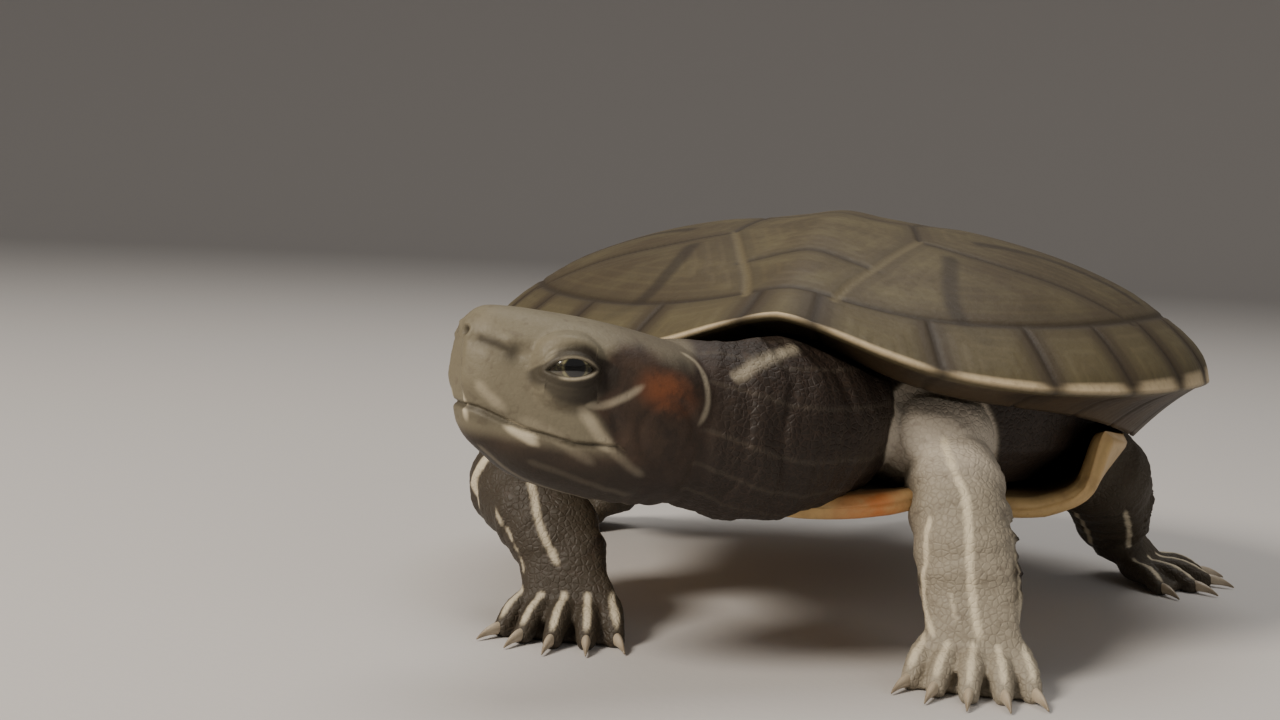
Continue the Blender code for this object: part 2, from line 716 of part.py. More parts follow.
def build_hind_leg(side, sign):
    """Thigh, shank and webbed hind foot of one side."""
    skin = material("leg_skin", SKIN_OLIVE, 0.55)
    foot = HIND_FOOT if sign > 0 else mirrored(HIND_FOOT)
    thigh = tube("thigh_" + side, flip(THIGH, sign), sides=16, steps=3)
    shank = tube("shank_" + side, flip(SHANK, sign), sides=16, steps=3)
    sole = build_foot(foot, "hind_foot_" + side, "hind_claw_" + side + "_%d", skin)
    combine(shank, tube("knee", flip(THIGH, sign), sides=16, steps=3, grow=PARTING), "DIFFERENCE")
    combine(sole, tube("ankle", flip(SHANK, sign), sides=16, steps=3, grow=PARTING), "DIFFERENCE")
    weld(sole)
    weld(shank)
    keep(thigh, skin)
    keep(shank, skin)
    return thigh


# ---------------------------------------------------------------- assembly
def build_shell():
    """Carapace, plastron and the two bridges."""
    shell = material("carapace_scutes", OLIVE_SHELL, 0.45)
    belly = material("plastron_scutes", CREAM, 0.45)
    keep(build_carapace(), shell)
    keep(build_plastron(), belly)
    for sign, label in ((1, "left"), (-1, "right")):
        keep(build_bridge(sign, "bridge_" + label), belly)


def clear_of_shell(piece):
    """Cut the shell, with a little air round it, out of a piece of flesh."""
    for wall in pieces:
        if wall.name.split("_")[0] in ("carapace", "plastron", "bridge"):
            combine(piece, copy_grown(wall, GAP + 0.2), "DIFFERENCE")
    weld(piece)


def build_body():
    """The flesh, each piece cleared of its neighbours and of the shell."""
    build_head()
    neck = build_neck()
    combine(neck, build_head_mass(PARTING, "cut_head"), "DIFFERENCE")
    limbs = [build_front_leg("left"), build_front_leg("right"),
             build_hind_leg("left", 1), build_hind_leg("right", -1)]
    tail = build_tail()
    trunk = build_trunk()
    clear_of_shell(trunk)
    for limb in limbs[:2]:
        combine(limb, build_neck(PARTING, "cut_neck"), "DIFFERENCE")
    for stations in (*UPPER_ARM.values(), flip(THIGH, 1), flip(THIGH, -1)):
        combine(trunk, tube("cut_limb", stations, sides=16, steps=3, grow=PARTING), "DIFFERENCE")
    combine(trunk, build_tail(PARTING, "cut_tail"), "DIFFERENCE")
    combine(trunk, build_neck(PARTING, "cut_neck"), "DIFFERENCE")
    skin = material("body_skin", SKIN_DARK, 0.55)
    keep(neck, skin)
    keep(tail, skin)
    keep(trunk, skin)
    for piece in pieces:
        kind = piece.name.replace("_left", "").replace("_right", "")
        if kind in ("head", "neck", "tail", "upper_arm", "forearm", "thigh", "shank"):
            clear_of_shell(piece)
        if kind in FACETS:
            even_out(piece, *FACETS[kind])


def flatten_soles():
    """Slice the soles level, so that all four feet stand on small flats at one height."""
    for piece in pieces:
        if "foot" in piece.name:
            bm = bmesh.new()
            bm.from_mesh(piece.data)
            bmesh.ops.bisect_plane(bm, geom=bm.verts[:] + bm.edges[:] + bm.faces[:], dist=0.001,
                                   plane_co=(0, 0, SOLE_LEVEL), plane_no=(0, 0, 1),
                                   clear_inner=True)
            bmesh.ops.holes_fill(bm, edges=[e for e in bm.edges if e.is_boundary])
            bmesh.ops.recalc_face_normals(bm, faces=bm.faces)
            bm.to_mesh(piece.data)
            bm.free()


def place_all():
    """Turn millimetres into metres, with the origin under the middle of the whole model."""
    points = [v.co for piece in pieces for v in piece.data.vertices]
    low = [min(p[k] for p in points) for k in range(3)]
    high = [max(p[k] for p in points) for k in range(3)]
    origin = Vector(((low[0] + high[0]) / 2, (low[1] + high[1]) / 2, low[2]))
    for piece in pieces:
        home = middle(piece)
        piece.data.transform(Matrix.Translation(-home))
        piece.data.transform(Matrix.Scale(MM, 4))
        piece.location = (home - origin) * MM


clear_scene()
build_shell()
build_body()
flatten_soles()
place_all()
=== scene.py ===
"""Looks of a young red-eared slider turtle: one skin over the flesh, scutes, eyes, claws and light.

Shapes are drawn in millimetres in the draft frame that the solids share: feet on z = 0, facing -Y,
left side at +X. finish_piece() turns millimetres into the frame's metres.
"""
import math

import bmesh
import bpy
import numpy as np
from mathutils import Euler, Matrix, Vector, noise


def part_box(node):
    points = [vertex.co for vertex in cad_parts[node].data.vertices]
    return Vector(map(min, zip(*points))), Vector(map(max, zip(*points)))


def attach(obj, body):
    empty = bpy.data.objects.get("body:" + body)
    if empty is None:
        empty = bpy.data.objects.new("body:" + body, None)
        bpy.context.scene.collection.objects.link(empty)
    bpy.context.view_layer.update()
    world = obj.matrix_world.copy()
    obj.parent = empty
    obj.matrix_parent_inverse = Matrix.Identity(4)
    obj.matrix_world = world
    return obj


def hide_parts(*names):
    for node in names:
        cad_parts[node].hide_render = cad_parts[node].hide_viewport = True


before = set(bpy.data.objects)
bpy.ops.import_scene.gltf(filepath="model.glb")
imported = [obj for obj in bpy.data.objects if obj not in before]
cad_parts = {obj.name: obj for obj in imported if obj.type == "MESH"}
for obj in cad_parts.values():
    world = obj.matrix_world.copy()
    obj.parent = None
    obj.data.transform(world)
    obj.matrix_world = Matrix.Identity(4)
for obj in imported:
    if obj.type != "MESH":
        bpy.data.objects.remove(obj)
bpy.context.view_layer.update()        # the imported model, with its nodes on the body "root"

MM = 0.001

# ---------------- driving dimensions, in mm
SHELL_LENGTH = 60.0
SHELL_WIDTH = 57.0
SHELL_RISE = 13.0
SHELL_WALL = 1.5
MARGIN_HEIGHT = 17.3
SHELL_PITCH = math.radians(4.0)
NUCHAL_LIFT = 3.9          # the edge arches up this much over the neck
NUCHAL_SPREAD = 0.26       # and the arch falls off over this plan angle, in radians
BRIDGE_LIFT = 1.3          # the edge curls up this much over the bridges
WIDEST_SHIFT = 2.0         # the widest place lies this far behind mid length
KEEL_HEIGHT = 0.7
KEEL_HALF_WIDTH = 2.2
PLASTRON_DROP = 9.0        # from the origin of the shell's frame down to the plate
PLASTRON_WALL = 1.6
BRIDGE_HALF_LENGTH = 11.5

HEAD_LENGTH = 15.9
HEAD_YAW = math.radians(52.0)
HEAD_PITCH = math.radians(9.0)
HEAD_ROOT = (-5.2, -30.4, -2.1)
EYE_RADIUS = 1.85
EYE_ALONG = 9.9
EYE_ASIDE = 3.1
EYE_UP = 0.95
EYE_PROUD = 0.8
CHIN_RECESS = 0.75
LID_LENGTH = 1.60          # half length of the slit between the lids
LID_UPPER = 0.60
LID_LOWER = 0.54
LID_DROP = 0.22            # the slit lies this far below the eyeball's middle
GAZE_DROP = 0.14           # and the pupil this far

TOE_RADIUS = 0.85
TOE_TIP_RADIUS = 0.68
CLAW_LENGTH = 1.5
CLAW_RADIUS = 0.48
CLAW_GAP = 0.3             # the solids leave this between toe and claw

SKIN_GRAIN = 0.19          # size of the skin's faces before the head is refined
SOLE_HEIGHT = 0.13         # the soles' skin stops this far over the floor
PEBBLE_SIZE = 0.95         # across one of the skin's scales
SCALE_ROW = 1.25           # between the rows of broad scales on a leg
FRINGE_STEP = 1.35         # between the pointed scales on a leg's outer edge
NECK_FOLD = 2.9            # from fold to fold
FINE_FOLD = 1.1
LEG_FOLD = 1.9
THROAT_FOLD = 1.5
LID_FOLD = 0.42
GROWTH_RING = 1.05         # from ring to ring on a scute
RIM_CLEARANCE = 1.7        # the skin stays this far below the top of the shell's edge
SHELL_SPOKES = 760         # points round the shell's margin
RIM_LINE = 0.22            # width of the pale line along the shell's edge
RIM_ROLL = ((0.09, -0.03), (0.22, -0.02), (0.38, 0.14), (0.50, 0.60))   # drop, inward
UNDER_SHARES = np.linspace(0.08, 1.0, 16)     # rows inward along the marginals' lower faces
INSIDE_REACHES = (0.80, 0.68, 0.5, 0.3, 0.06)    # rows up the inner wall, as plan radii

# ---------------- colours, linear RGB
SHELL_OLIVE = (0.066, 0.049, 0.024)
SHELL_GREEN = (0.104, 0.084, 0.040)
SHELL_BROWN = (0.038, 0.026, 0.014)
SHELL_SEAM = (0.020, 0.013, 0.007)
SHELL_PALE = (0.235, 0.190, 0.098)
RIM_CREAM = (0.560, 0.440, 0.270)
BELLY_CREAM = (0.520, 0.350, 0.150)
BELLY_SHADE = (0.300, 0.185, 0.078)
# UNDER_RIM_SHADE: painted shade, the marginals' lower faces darkened as though shaded under the
# shell's edge
UNDER_RIM_SHADE = (0.064, 0.043, 0.023)
BELLY_DARK = (0.040, 0.028, 0.017)
BELLY_ORANGE = (0.560, 0.170, 0.040)
# SKIN_DARK: partly painted shade, for the neck, throat, body and the legs away from the light
SKIN_DARK = (0.020, 0.0135, 0.0095)
SKIN_BROWN = (0.050, 0.030, 0.019)
SKIN_OLIVE = (0.174, 0.150, 0.099)
# SKIN_GREY: the left foreleg's pale grey, partly painted light
SKIN_GREY = (0.470, 0.410, 0.325)
MARK_DARK = (0.016, 0.011, 0.007)
MARK_RED = (0.185, 0.058, 0.021)
MARK_PALE = (0.680, 0.590, 0.420)
IRIS = (0.072, 0.066, 0.030)
IRIS_RING = (0.26, 0.24, 0.12)
PUPIL = (0.002, 0.002, 0.002)
SCLERA = (0.020, 0.015, 0.010)
CLAW_HORN = (0.480, 0.400, 0.290)
CLAW_TIP = (0.230, 0.180, 0.120)
FLOOR_TONE = (0.560, 0.535, 0.510)
FLOOR_FIBRE = (0.50, 0.48, 0.46)


# ---------------- frames
SHELL_TURN = Matrix.Rotation(-SHELL_PITCH, 3, "X")
SHELL_PLACE = (0.0, 0.0, MARGIN_HEIGHT)


def body_point(x, y, z):
    """A point of the shell's frame, tipped nose-up and raised to its place over the floor."""
    return SHELL_TURN @ Vector((x, y, z)) + Vector(SHELL_PLACE)


def body_points(points):
    """body_point() for rows of points."""
    return points @ np.array(SHELL_TURN).T + SHELL_PLACE


def shell_coordinates(points):
    """Draft points read in the shell's frame."""
    return (points - SHELL_PLACE) @ np.array(SHELL_TURN)


def moved(points, matrix):
    """Rows of points put through a matrix of turn and place."""
    place = np.array(matrix)
    return points @ place[:3, :3].T + place[:3, 3]


def head_matrix():
    """Head frame: +X from the occiput to the snout, +Y to the animal's left, +Z up."""
    heading = -math.pi / 2 - HEAD_YAW
    turn = Euler((0.0, -HEAD_PITCH, heading), "XYZ").to_matrix().to_4x4()
    return Matrix.Translation(body_point(*HEAD_ROOT)) @ turn


def head_coordinates(points):
    """Draft points read in the head frame."""
    return moved(points, head_matrix().inverted())


def eye_frame(side):
    """One eye's frame: +X forward along the lids, +Y up, +Z out along the line of sight."""
    sight = Vector((0.25, side, 0.25)).normalized()
    forward = Vector((1.0, 0.0, -0.14))
    forward = (forward - sight * forward.dot(sight)).normalized()
    up = forward.cross(sight) * side
    turn = Matrix((forward, up, sight)).transposed().to_4x4()
    centre = Vector((EYE_ALONG, side * EYE_ASIDE, EYE_UP)) + sight * EYE_PROUD
    return head_matrix() @ Matrix.Translation(centre) @ turn


def draft_shift():
    """Where the draft's origin lies in the frame, in mm, read from the left eyeball's solid."""
    low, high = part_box("eye_left")
    return (low + high) / 2 / MM - eye_frame(1).translation


DRAFT_SHIFT = draft_shift()


# ---------------- small tools
def smoothstep(low, high, value):
    """0 below low, 1 above high, and a smooth rise between; low may be the bigger of the two."""
    t = np.clip((value - low) / (high - low), 0.0, 1.0)
    return t * t * (3.0 - 2.0 * t)


def hill(distance, radius):
    """A round bump, 1 at no distance."""
    return np.exp(-(distance / radius) ** 2)


def waves(run, size, shift=0.0):
    """Even ridges from -1 to 1, size mm apart along a run."""
    return np.sin(run * 2 * math.pi / size + shift)


def strongest(masks):
    """The greatest of several masks at each point."""
    return np.maximum.reduce(masks)


def turns(count):
    """Angles at even steps round a circle."""
    return [2 * math.pi * k / count for k in range(count)]


def on_sphere(polar, turn):
    """The unit vector at a polar angle from +Z and a turn from +X."""
    flat = math.sin(polar)
    return Vector((flat * math.cos(turn), flat * math.sin(turn), math.cos(polar)))


def squarish(value, power):
    """A sine or cosine bent so that the circle it draws grows squarer with a power over 2."""
    return math.copysign(abs(value) ** (2.0 / power), value)


def unit(rows):
    """Vectors along the last axis, brought to length 1."""
    return rows / np.maximum(np.linalg.norm(rows, axis=-1, keepdims=True), 1e-9)


def catmull(stations, steps):
    """Rows of numbers read at even steps from the smooth curve through the given rows."""
    rows = []
    last = len(stations) - 1
    for i in range(last):
        p0, p1 = stations[max(i - 1, 0)], stations[i]
        p2, p3 = stations[i + 1], stations[min(i + 2, last)]
        for k in range(steps):
            t = k / steps
            rows.append([
                0.5 * (2 * b + (c - a) * t + (2 * a - 5 * b + 4 * c - d) * t * t
                       + (3 * b - a - 3 * c + d) * t ** 3)
                for a, b, c, d in zip(p0, p1, p2, p3)])
    rows.append(list(stations[last]))
    return rows


def nearest_on_path(points, path):
    """For each point: vector to the nearest spot of a path, share along it, run of its segment."""
    best = np.full(len(points), np.inf)
    offset, heading = np.zeros_like(points), np.zeros_like(points)
    share = np.zeros(len(points))
    path = np.asarray(path, float)
    for i in range(len(path) - 1):
        start, run = path[i], path[i + 1] - path[i]
        t = np.clip((points - start) @ run / max(run @ run, 1e-9), 0.0, 1.0)
        away = start + t[:, None] * run - points
        square = (away ** 2).sum(1)
        closer = square < best
        best[closer] = square[closer]
        offset[closer] = away[closer]
        share[closer] = (i + t[closer]) / (len(path) - 1)
        heading[closer] = run
    return offset, share, heading


def distance_to_path(points, path):
    """Distance of each point to a path of the same number of coordinates."""
    return np.sqrt((nearest_on_path(points, path)[0] ** 2).sum(1))


def distance_to_any(points, paths):
    """Distance of each point to the nearest of several paths."""
    return np.minimum.reduce([distance_to_path(points, path) for path in paths])


def signed_distance_2d(points, path):
    """Distance to a flat path, positive on the left of its run."""
    offset, _, run = nearest_on_path(points, path)
    side = np.sign(run[:, 1] * offset[:, 0] - run[:, 0] * offset[:, 1])
    return side * np.sqrt((offset ** 2).sum(1))


def path_length(path):
    """Length of a path."""
    return np.linalg.norm(np.diff(path, axis=0), axis=1).sum()


def near_box(points, path, reach):
    """Which points lie within reach of a path's box."""
    return np.all((points > path.min(0) - reach) & (points < path.max(0) + reach), axis=1)


def wobble(points, size, seed=0.0):
    """Smooth noise from -1 to 1 at each point, with lumps about size mm across."""
    offset = Vector((seed, seed * 1.7, -seed))
    return np.array([noise.noise(Vector(p) / size + offset) for p in points])


def scale_cells(points, size):
    """Low pebbles size mm across: 1 at the middle of each, 0 in the creases between them."""
    heights = []
    for p in points:
        near = noise.voronoi(Vector(p) / size)[0]
        heights.append(min(1.0, (near[1] - near[0]) * 2.2))
    return np.array(heights)


def mesh_object(name, vertices, faces):
    """A mesh object from points and faces."""
    mesh = bpy.data.meshes.new(name)
    mesh.from_pydata([tuple(v) for v in vertices], [], faces)
    mesh.validate()
    made = bpy.data.objects.new(name, mesh)
    bpy.context.scene.collection.objects.link(made)
    return made


def face_outward(target):
    """Turn all the faces of a closed piece outward."""
    bm = bmesh.new()
    bm.from_mesh(target.data)
    bmesh.ops.recalc_face_normals(bm, faces=bm.faces)
    bm.to_mesh(target.data)
    bm.free()


def read_points(target):
    """An object's vertices as rows."""
    rows = np.zeros(len(target.data.vertices) * 3)
    target.data.vertices.foreach_get("co", rows)
    return rows.reshape(-1, 3)


def read_normals(target):
    """An object's vertex normals as rows."""
    rows = np.zeros(len(target.data.vertices) * 3, np.float32)
    target.data.vertex_normals.foreach_get("vector", rows)
    return rows.reshape(-1, 3).astype(float)


def write_points(target, rows):
    """Move an object's vertices."""
    target.data.vertices.foreach_set("co", rows.ravel())
    target.data.update()


def write_mask(target, name, values):
    """Store one number for each vertex, for the material to read."""
    layer = target.data.attributes.new(name, "FLOAT", "POINT")
    layer.data.foreach_set("value", np.asarray(values, np.float32))


def apply_modifiers(target):
    """Swap an object's mesh for the one that its modifiers make."""
    graph = bpy.context.evaluated_depsgraph_get()
    result = bpy.data.meshes.new_from_object(target.evaluated_get(graph))
    target.modifiers.clear()
    target.data = result


def finish_piece(target, surface, slot, *replaced):
    """Put a drafted piece into the frame, give it its surface, and let it ride."""
    target.data.transform(Matrix.Translation(DRAFT_SHIFT))
    target.data.transform(Matrix.Scale(MM, 4))
    target.data.materials.clear()
    target.data.materials.append(surface)
    target.data.shade_smooth()
    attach(target, "root")
    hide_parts(*replaced)


# ---------------- material helper
class Surface:
    """A material under construction; numbers and node sockets serve alike as inputs."""

    def __init__(self, name):
        self.material = bpy.data.materials.new(name)
        self.material.use_nodes = True
        self.tree = self.material.node_tree
        self.shader = self.tree.nodes["Principled BSDF"]
        self.colour = None

    def feed(self, socket, value):
        """Link a socket into an input, or set the input to a number or colour."""
        if isinstance(value, bpy.types.NodeSocket):
            self.tree.links.new(value, socket)
        elif isinstance(value, tuple) and len(value) == 3 and socket.type == "RGBA":
            socket.default_value = (*value, 1.0)
        else:
            socket.default_value = value

    def add(self, kind, settings=None, **inputs):
        """A node with the given settings and inputs (_Name or _number); returns its first output."""
        made = self.tree.nodes.new(kind)
        for key, value in (settings or {}).items():
            setattr(made, key, value)
        for key, value in inputs.items():
            label = key[1:]
            self.feed(made.inputs[int(label) if label.isdigit() else label], value)
        return made.outputs[0]

    def mask(self, name):
        """The number stored on the mesh under that name."""
        made = self.tree.nodes.new("ShaderNodeAttribute")
        made.attribute_name = name
        return made.outputs["Fac"]

    def place(self):
        """Position on the object, in metres."""
        return self.tree.nodes.new("ShaderNodeTexCoord").outputs["Object"]

    def math(self, operation, a, b=0.0, clamp=False):
        """A sum, sine or other function of numbers and sockets."""
        return self.add("ShaderNodeMath", {"operation": operation, "use_clamp": clamp}, _0=a, _1=b)

    def times(self, a, b, clamp=False):
        """The product of two numbers or sockets."""
        return self.math("MULTIPLY", a, b, clamp)

    def mix(self, amount, under, over):
        """Colour from under to over by the amount."""
        made = self.tree.nodes.new("ShaderNodeMix")
        made.data_type = "RGBA"
        self.feed(made.inputs[0], amount)
        self.feed(made.inputs[6], under)
        self.feed(made.inputs[7], over)
        return made.outputs[2]

    def paint(self, over, amount, strength=None):
        """Lay a colour over self.colour by an amount or a named mask, times a strength."""
        if isinstance(amount, str):
            amount = self.mask(amount)
        if strength is not None:
            amount = self.times(amount, strength)
        self.colour = self.mix(amount, self.colour, over)

    def noise(self, size, detail=3.0, roughness=0.55):
        """Smooth noise from 0 to 1 with lumps about size mm across."""
        return self.add("ShaderNodeTexNoise", _Vector=self.place(), _Scale=1.0 / (size * MM),
                        _Detail=detail, _Roughness=roughness)

    def cells(self, size):
        """Distance to the creases of a pebbled pattern with pebbles about size mm across."""
        return self.add("ShaderNodeTexVoronoi", {"feature": "DISTANCE_TO_EDGE"},
                        _Vector=self.place(), _Scale=1.0 / (size * MM))

    def band(self, value, low, high):
        """0 at low and 1 at high, smooth between."""
        return self.add("ShaderNodeMapRange", {"interpolation_type": "SMOOTHSTEP"}, _Value=value,
                        _1=low, _2=high)

    def bump(self, height, depth, under=None):
        """A normal bent by a height from 0 to 1 that stands for depth mm."""
        made = self.tree.nodes.new("ShaderNodeBump")
        made.inputs["Strength"].default_value = 1.0
        made.inputs["Distance"].default_value = depth * MM
        self.feed(made.inputs["Height"], height)
        if under is not None:
            self.tree.links.new(under, made.inputs["Normal"])
        return made.outputs[0]

    def finish(self, roughness, normal=None, **settings):
        """Feed the shader and hand back the material."""
        self.feed(self.shader.inputs["Base Color"], self.colour)
        self.feed(self.shader.inputs["Roughness"], roughness)
        if normal is not None:
            self.feed(self.shader.inputs["Normal"], normal)
        for key, value in settings.items():
            self.shader.inputs[key.replace("_", " ")].default_value = value
        return self.material


# ---------------- shell shape
def margin_point(a):
    """Plan of the shell's edge; a is 0 at the nuchal scute and pi at the tail."""
    s = np.sin(a)
    x = SHELL_WIDTH / 2 * np.copysign(np.abs(s) ** 0.92, s)
    y = -SHELL_LENGTH / 2 * np.cos(a) + WIDEST_SHIFT * s * s
    return x, y


def rear_weight(a):
    """1 over the tail, fading to 0 at the middle of the shell."""
    return np.maximum(0.0, -np.cos(a))


def margin_lift(a):
    """Height of the edge: arched over the neck, curled up over the bridge and the tail."""
    front = np.abs(np.arctan2(np.sin(a), np.cos(a))) / NUCHAL_SPREAD
    arch = NUCHAL_LIFT * np.exp(-front ** 1.5)
    return 0.7 + arch + BRIDGE_LIFT * np.sin(a) ** 6 + 0.8 * rear_weight(a) ** 8


def serration(a):
    """Shallow notches between the rear marginal scutes."""
    notch = np.abs(np.sin(a * 12.5)) ** 0.7
    return 1.0 - 0.014 * rear_weight(a) * (1.0 - notch)


def carapace_points(r, a):
    """Outer face of the carapace at plan radius r (1 at the edge) and plan angle a, shell frame."""
    x_edge, y_edge = margin_point(a)
    reach = r * (1.0 + (serration(a) - 1.0) * smoothstep(0.82, 0.97, r))
    x = reach * x_edge
    y = WIDEST_SHIFT + reach * (y_edge - WIDEST_SHIFT)
    power = 1.05 - 0.40 * np.sin(a) ** 2
    dome = SHELL_RISE * np.maximum(0.0, 1.0 - r ** 2.3) ** power
    keel = KEEL_HEIGHT * np.exp(-(x / KEEL_HALF_WIDTH) ** 2) * (1.0 - r ** 4)
    return np.stack((x, y, dome + keel + margin_lift(a) * r ** 4), -1)


def underside_points(a):
    """Inner border of the marginal scutes' lower faces: low at the bridge, level at the ends."""
    x_edge, y_edge = margin_point(a)
    lateral = np.sin(a) ** 2
    inward = 0.84 - 0.03 * lateral
    drop = 1.5 + 3.4 * lateral ** 3
    x = inward * x_edge
    y = WIDEST_SHIFT + inward * (y_edge - WIDEST_SHIFT)
    return np.stack((x, y, margin_lift(a) - drop), -1)


# Scute seams in plan, in the shell's frame, for the left side: (x, y) in mm
VERTEBRAL_SIDE = ((3.0, -25.4), (3.7, -22.0), (4.9, -18.3), (6.9, -11.6), (5.7, -5.5),
                  (7.1, 1.2), (5.6, 7.2), (6.6, 12.8), (4.2, 18.0), (8.8, 24.9))
# Seams across the keel: y, half width, bow
VERTEBRAL_ENDS = ((-18.3, 4.9, 0.9), (-5.5, 5.7, -0.5), (7.2, 5.6, 0.6), (18.0, 4.2, -0.4))
COSTAL_SEAMS = (((6.9, -11.6), (12.0, -12.2), (17.5, -11.2), (22.6, -10.6)),
                ((7.1, 1.2), (13.0, 0.6), (18.5, 1.6), (24.0, 2.6)),
                ((6.6, 12.8), (11.5, 13.4), (16.5, 15.6), (20.6, 17.6)))
# Lengths of the marginal scutes along the edge, from the middle of the nuchal scute to the tail
MARGINAL_ARCS = (2.4, 8.4, 8.3, 7.6, 7.2, 7.2, 7.3, 7.4, 7.5, 7.6, 7.6, 7.3, 6.6)
# Dark bars down the scutes
BAR_LINES = (((9.4, -14.2), (9.8, -18.3), (10.3, -20.8), (11.2, -22.4), (12.8, -23.2)),
             ((11.0, -8.6), (15.4, -5.8), (22.4, -4.4)), ((11.0, 4.4), (15.6, 7.4), (21.6, 9.6)),
             ((10.2, 16.4), (13.4, 19.6), (16.4, 22.4)))


def marginal_width(a):
    """Share of the plan radius that the marginal scutes take up."""
    return 0.155 - 0.025 * np.sin(a) ** 2 + 0.02 * rear_weight(a) ** 2


def marginal_angles():
    """Plan angles of the seams between the marginal scutes, from the nuchal scute round."""
    a = np.linspace(0.0, math.pi, 2001)
    x, y = margin_point(a)
    run = np.concatenate(([0.0], np.cumsum(np.hypot(np.diff(x), np.diff(y)))))
    ends = np.cumsum(MARGINAL_ARCS)
    left = np.interp(ends[:-1] / ends[-1], run / run[-1], a)
    return np.concatenate((left, [math.pi], 2 * math.pi - left[::-1]))


def both_sides(path):
    """A path of the left side and its mirror image."""
    left = np.array(path, float)
    return [left, left * (-1.0, 1.0)]


def seam_paths():
    """Every seam on the dome, in plan, without the border of the marginal scutes."""
    paths = both_sides(VERTEBRAL_SIDE)
    for y, half, bow in VERTEBRAL_ENDS:
        x = np.linspace(-half, half, 9)
        paths.append(np.stack((x, y + bow * (1.0 - (x / half) ** 2) - bow), -1))
    for path in COSTAL_SEAMS:
        paths += both_sides(catmull(path, 4))
    return paths


def shell_marks(r, a, points):
    """Distances in mm from carapace points to the scute seams, by kind."""
    x_edge, y_edge = margin_point(a)
    radius = np.hypot(x_edge, y_edge - WIDEST_SHIFT)
    to_border = (r - (1.0 - marginal_width(a))) * radius
    dome = distance_to_any(points[:, :2], seam_paths())
    dome[to_border > 0.4] = np.inf
    turned = [np.abs(np.arctan2(np.sin(a - angle), np.cos(a - angle))) for angle in marginal_angles()]
    spokes = np.minimum.reduce(turned) * radius * r
    spokes[to_border < -0.2] = np.inf
    seam = np.minimum(np.minimum(dome, spokes), np.abs(to_border))
    return seam, to_border, spokes


def grid_faces(rows, columns, wrap=True):
    """Quads between the points of a grid; with wrap its columns close into a ring."""
    faces = []
    for i in range(rows - 1):
        for j in range(columns if wrap else columns - 1):
            k = (j + 1) % columns
            faces.append((i * columns + j, i * columns + k,
                          (i + 1) * columns + k, (i + 1) * columns + j))
    return faces


def closed_faces(rows, columns):
    """The quads of a ring grid, and a face over each of its ends."""
    first = tuple(range(columns))
    return grid_faces(rows, columns) + [first[::-1], tuple((rows - 1) * columns + j for j in first)]


def grid_normals(points):
    """Unit normals of a ring grid of points, one for each point, all facing up."""
    across = np.roll(points, -1, 1) - np.roll(points, 1, 1)
    normal = unit(np.cross(across, np.gradient(points, axis=0)))
    return normal * np.sign(normal[:, :, 2:])


def carapace_relief(r, flat, seam):
    """Height of the scutes over the plain dome: sunken seams, soft crowns, faint growth rings."""
    rings = waves(seam, GROWTH_RING) * hill(seam - 1.6, 1.5)
    lift = 0.13 * smoothstep(0.0, 3.4, seam) - 0.11 * hill(seam, 0.20) + 0.010 * rings
    lift += 0.03 * wobble(flat, 5.0).reshape(r.shape)
    lift -= 0.22 * hill(flat[:, 0].reshape(r.shape), 1.8)
    return lift * (1.0 - 0.8 * smoothstep(0.975, 1.0, r)) - 0.20


def carapace_rim(edge):
    """Rows that roll from the shell's edge to the marginals' lower faces."""
    way = unit((edge - (0.0, WIDEST_SHIFT, 0.0)) * (1, 1, 0))
    return [edge - way * inward - (0, 0, drop) for drop, inward in RIM_ROLL]


def marginal_underside(start, end, groove):
    """Rows from the rim inward along the marginals' lower faces, with their seams."""
    rows = []
    for share in UNDER_SHARES:
        rise = 0.30 * math.sin(math.pi * share) + 0.10 * hill(groove, 0.22)
        rows.append(start * (1 - share) + end * share + np.array((0, 0, 1.0)) * rise[:, None])
    return rows


def carapace_inside(turn):
    """Rows up the inner wall to the roof."""
    rows = []
    for reach in INSIDE_REACHES:
        ring = carapace_points(np.full_like(turn, reach), turn)
        drop = SHELL_WALL * (1.0 + 0.5 * reach ** 3)
        rows.append(ring * (1.0 - SHELL_WALL * 0.012) - (0, 0, drop))
    return rows


def path_mask(plan, paths, width):
    """1 on any of the paths and their mirror images, 0 beyond the width."""
    lines = [half for path in paths for half in both_sides(catmull(path, 4))]
    return smoothstep(width, 0.25 * width, distance_to_any(plan, lines))


def carapace_masks(r, flat, top, marks, groove):
    """Masks for the carapace's colours: name, on the top grid, on the rows under the edge."""
    seam, to_border, spokes = marks
    plan = flat[:, :2]
    share = np.concatenate((np.zeros(len(RIM_ROLL)), UNDER_SHARES))[:, None]
    marginal = smoothstep(-0.3, 0.6, to_border)
    inner = 1.0 - 0.75 * marginal.ravel()
    broken = 1.0 - 0.85 * hill(groove, 1.1)
    rim_width = RIM_LINE * (0.6 + 0.4 * broken)
    rim = smoothstep(rim_width * 1.3, rim_width * 0.5, (1.0 - r) * SHELL_LENGTH / 2) * broken
    rim_fade = np.array([0.9, 0.5] + [0.0] * (len(share) - 2))[:, None]
    blotch = smoothstep(3.0, 1.4, groove) * smoothstep(0.95, 0.6, share) * smoothstep(0.05, 0.3, share)
    return (
        ("seam", smoothstep(0.52, 0.08, seam), smoothstep(0.5, 0.1, groove)),
        ("seam_distance", np.minimum(seam, 6.0), np.minimum(groove, 3.0)),
        ("marginal", marginal, 1.0),
        ("rim", rim, broken * rim_fade),
        ("bar", path_mask(plan, BAR_LINES, 0.95) * inner, 0.0),
        ("side_line", path_mask(plan, (VERTEBRAL_SIDE[:4],), 0.45) * (plan[:, 1] < -8.0), 0.0),
        # below: where the painted shade under the edge goes, on the marginals' lower faces
        ("below", np.zeros_like(r), smoothstep(0.0, 0.12, share)),
        # centre: the dome's middle; outside it the flanks get painted shade
        ("centre", smoothstep(15.0, 4.0, np.abs(top[:, :, 0])), 0.0),
        ("blotch", marginal * smoothstep(2.0, 0.4, np.minimum(spokes, 9.0)), blotch))


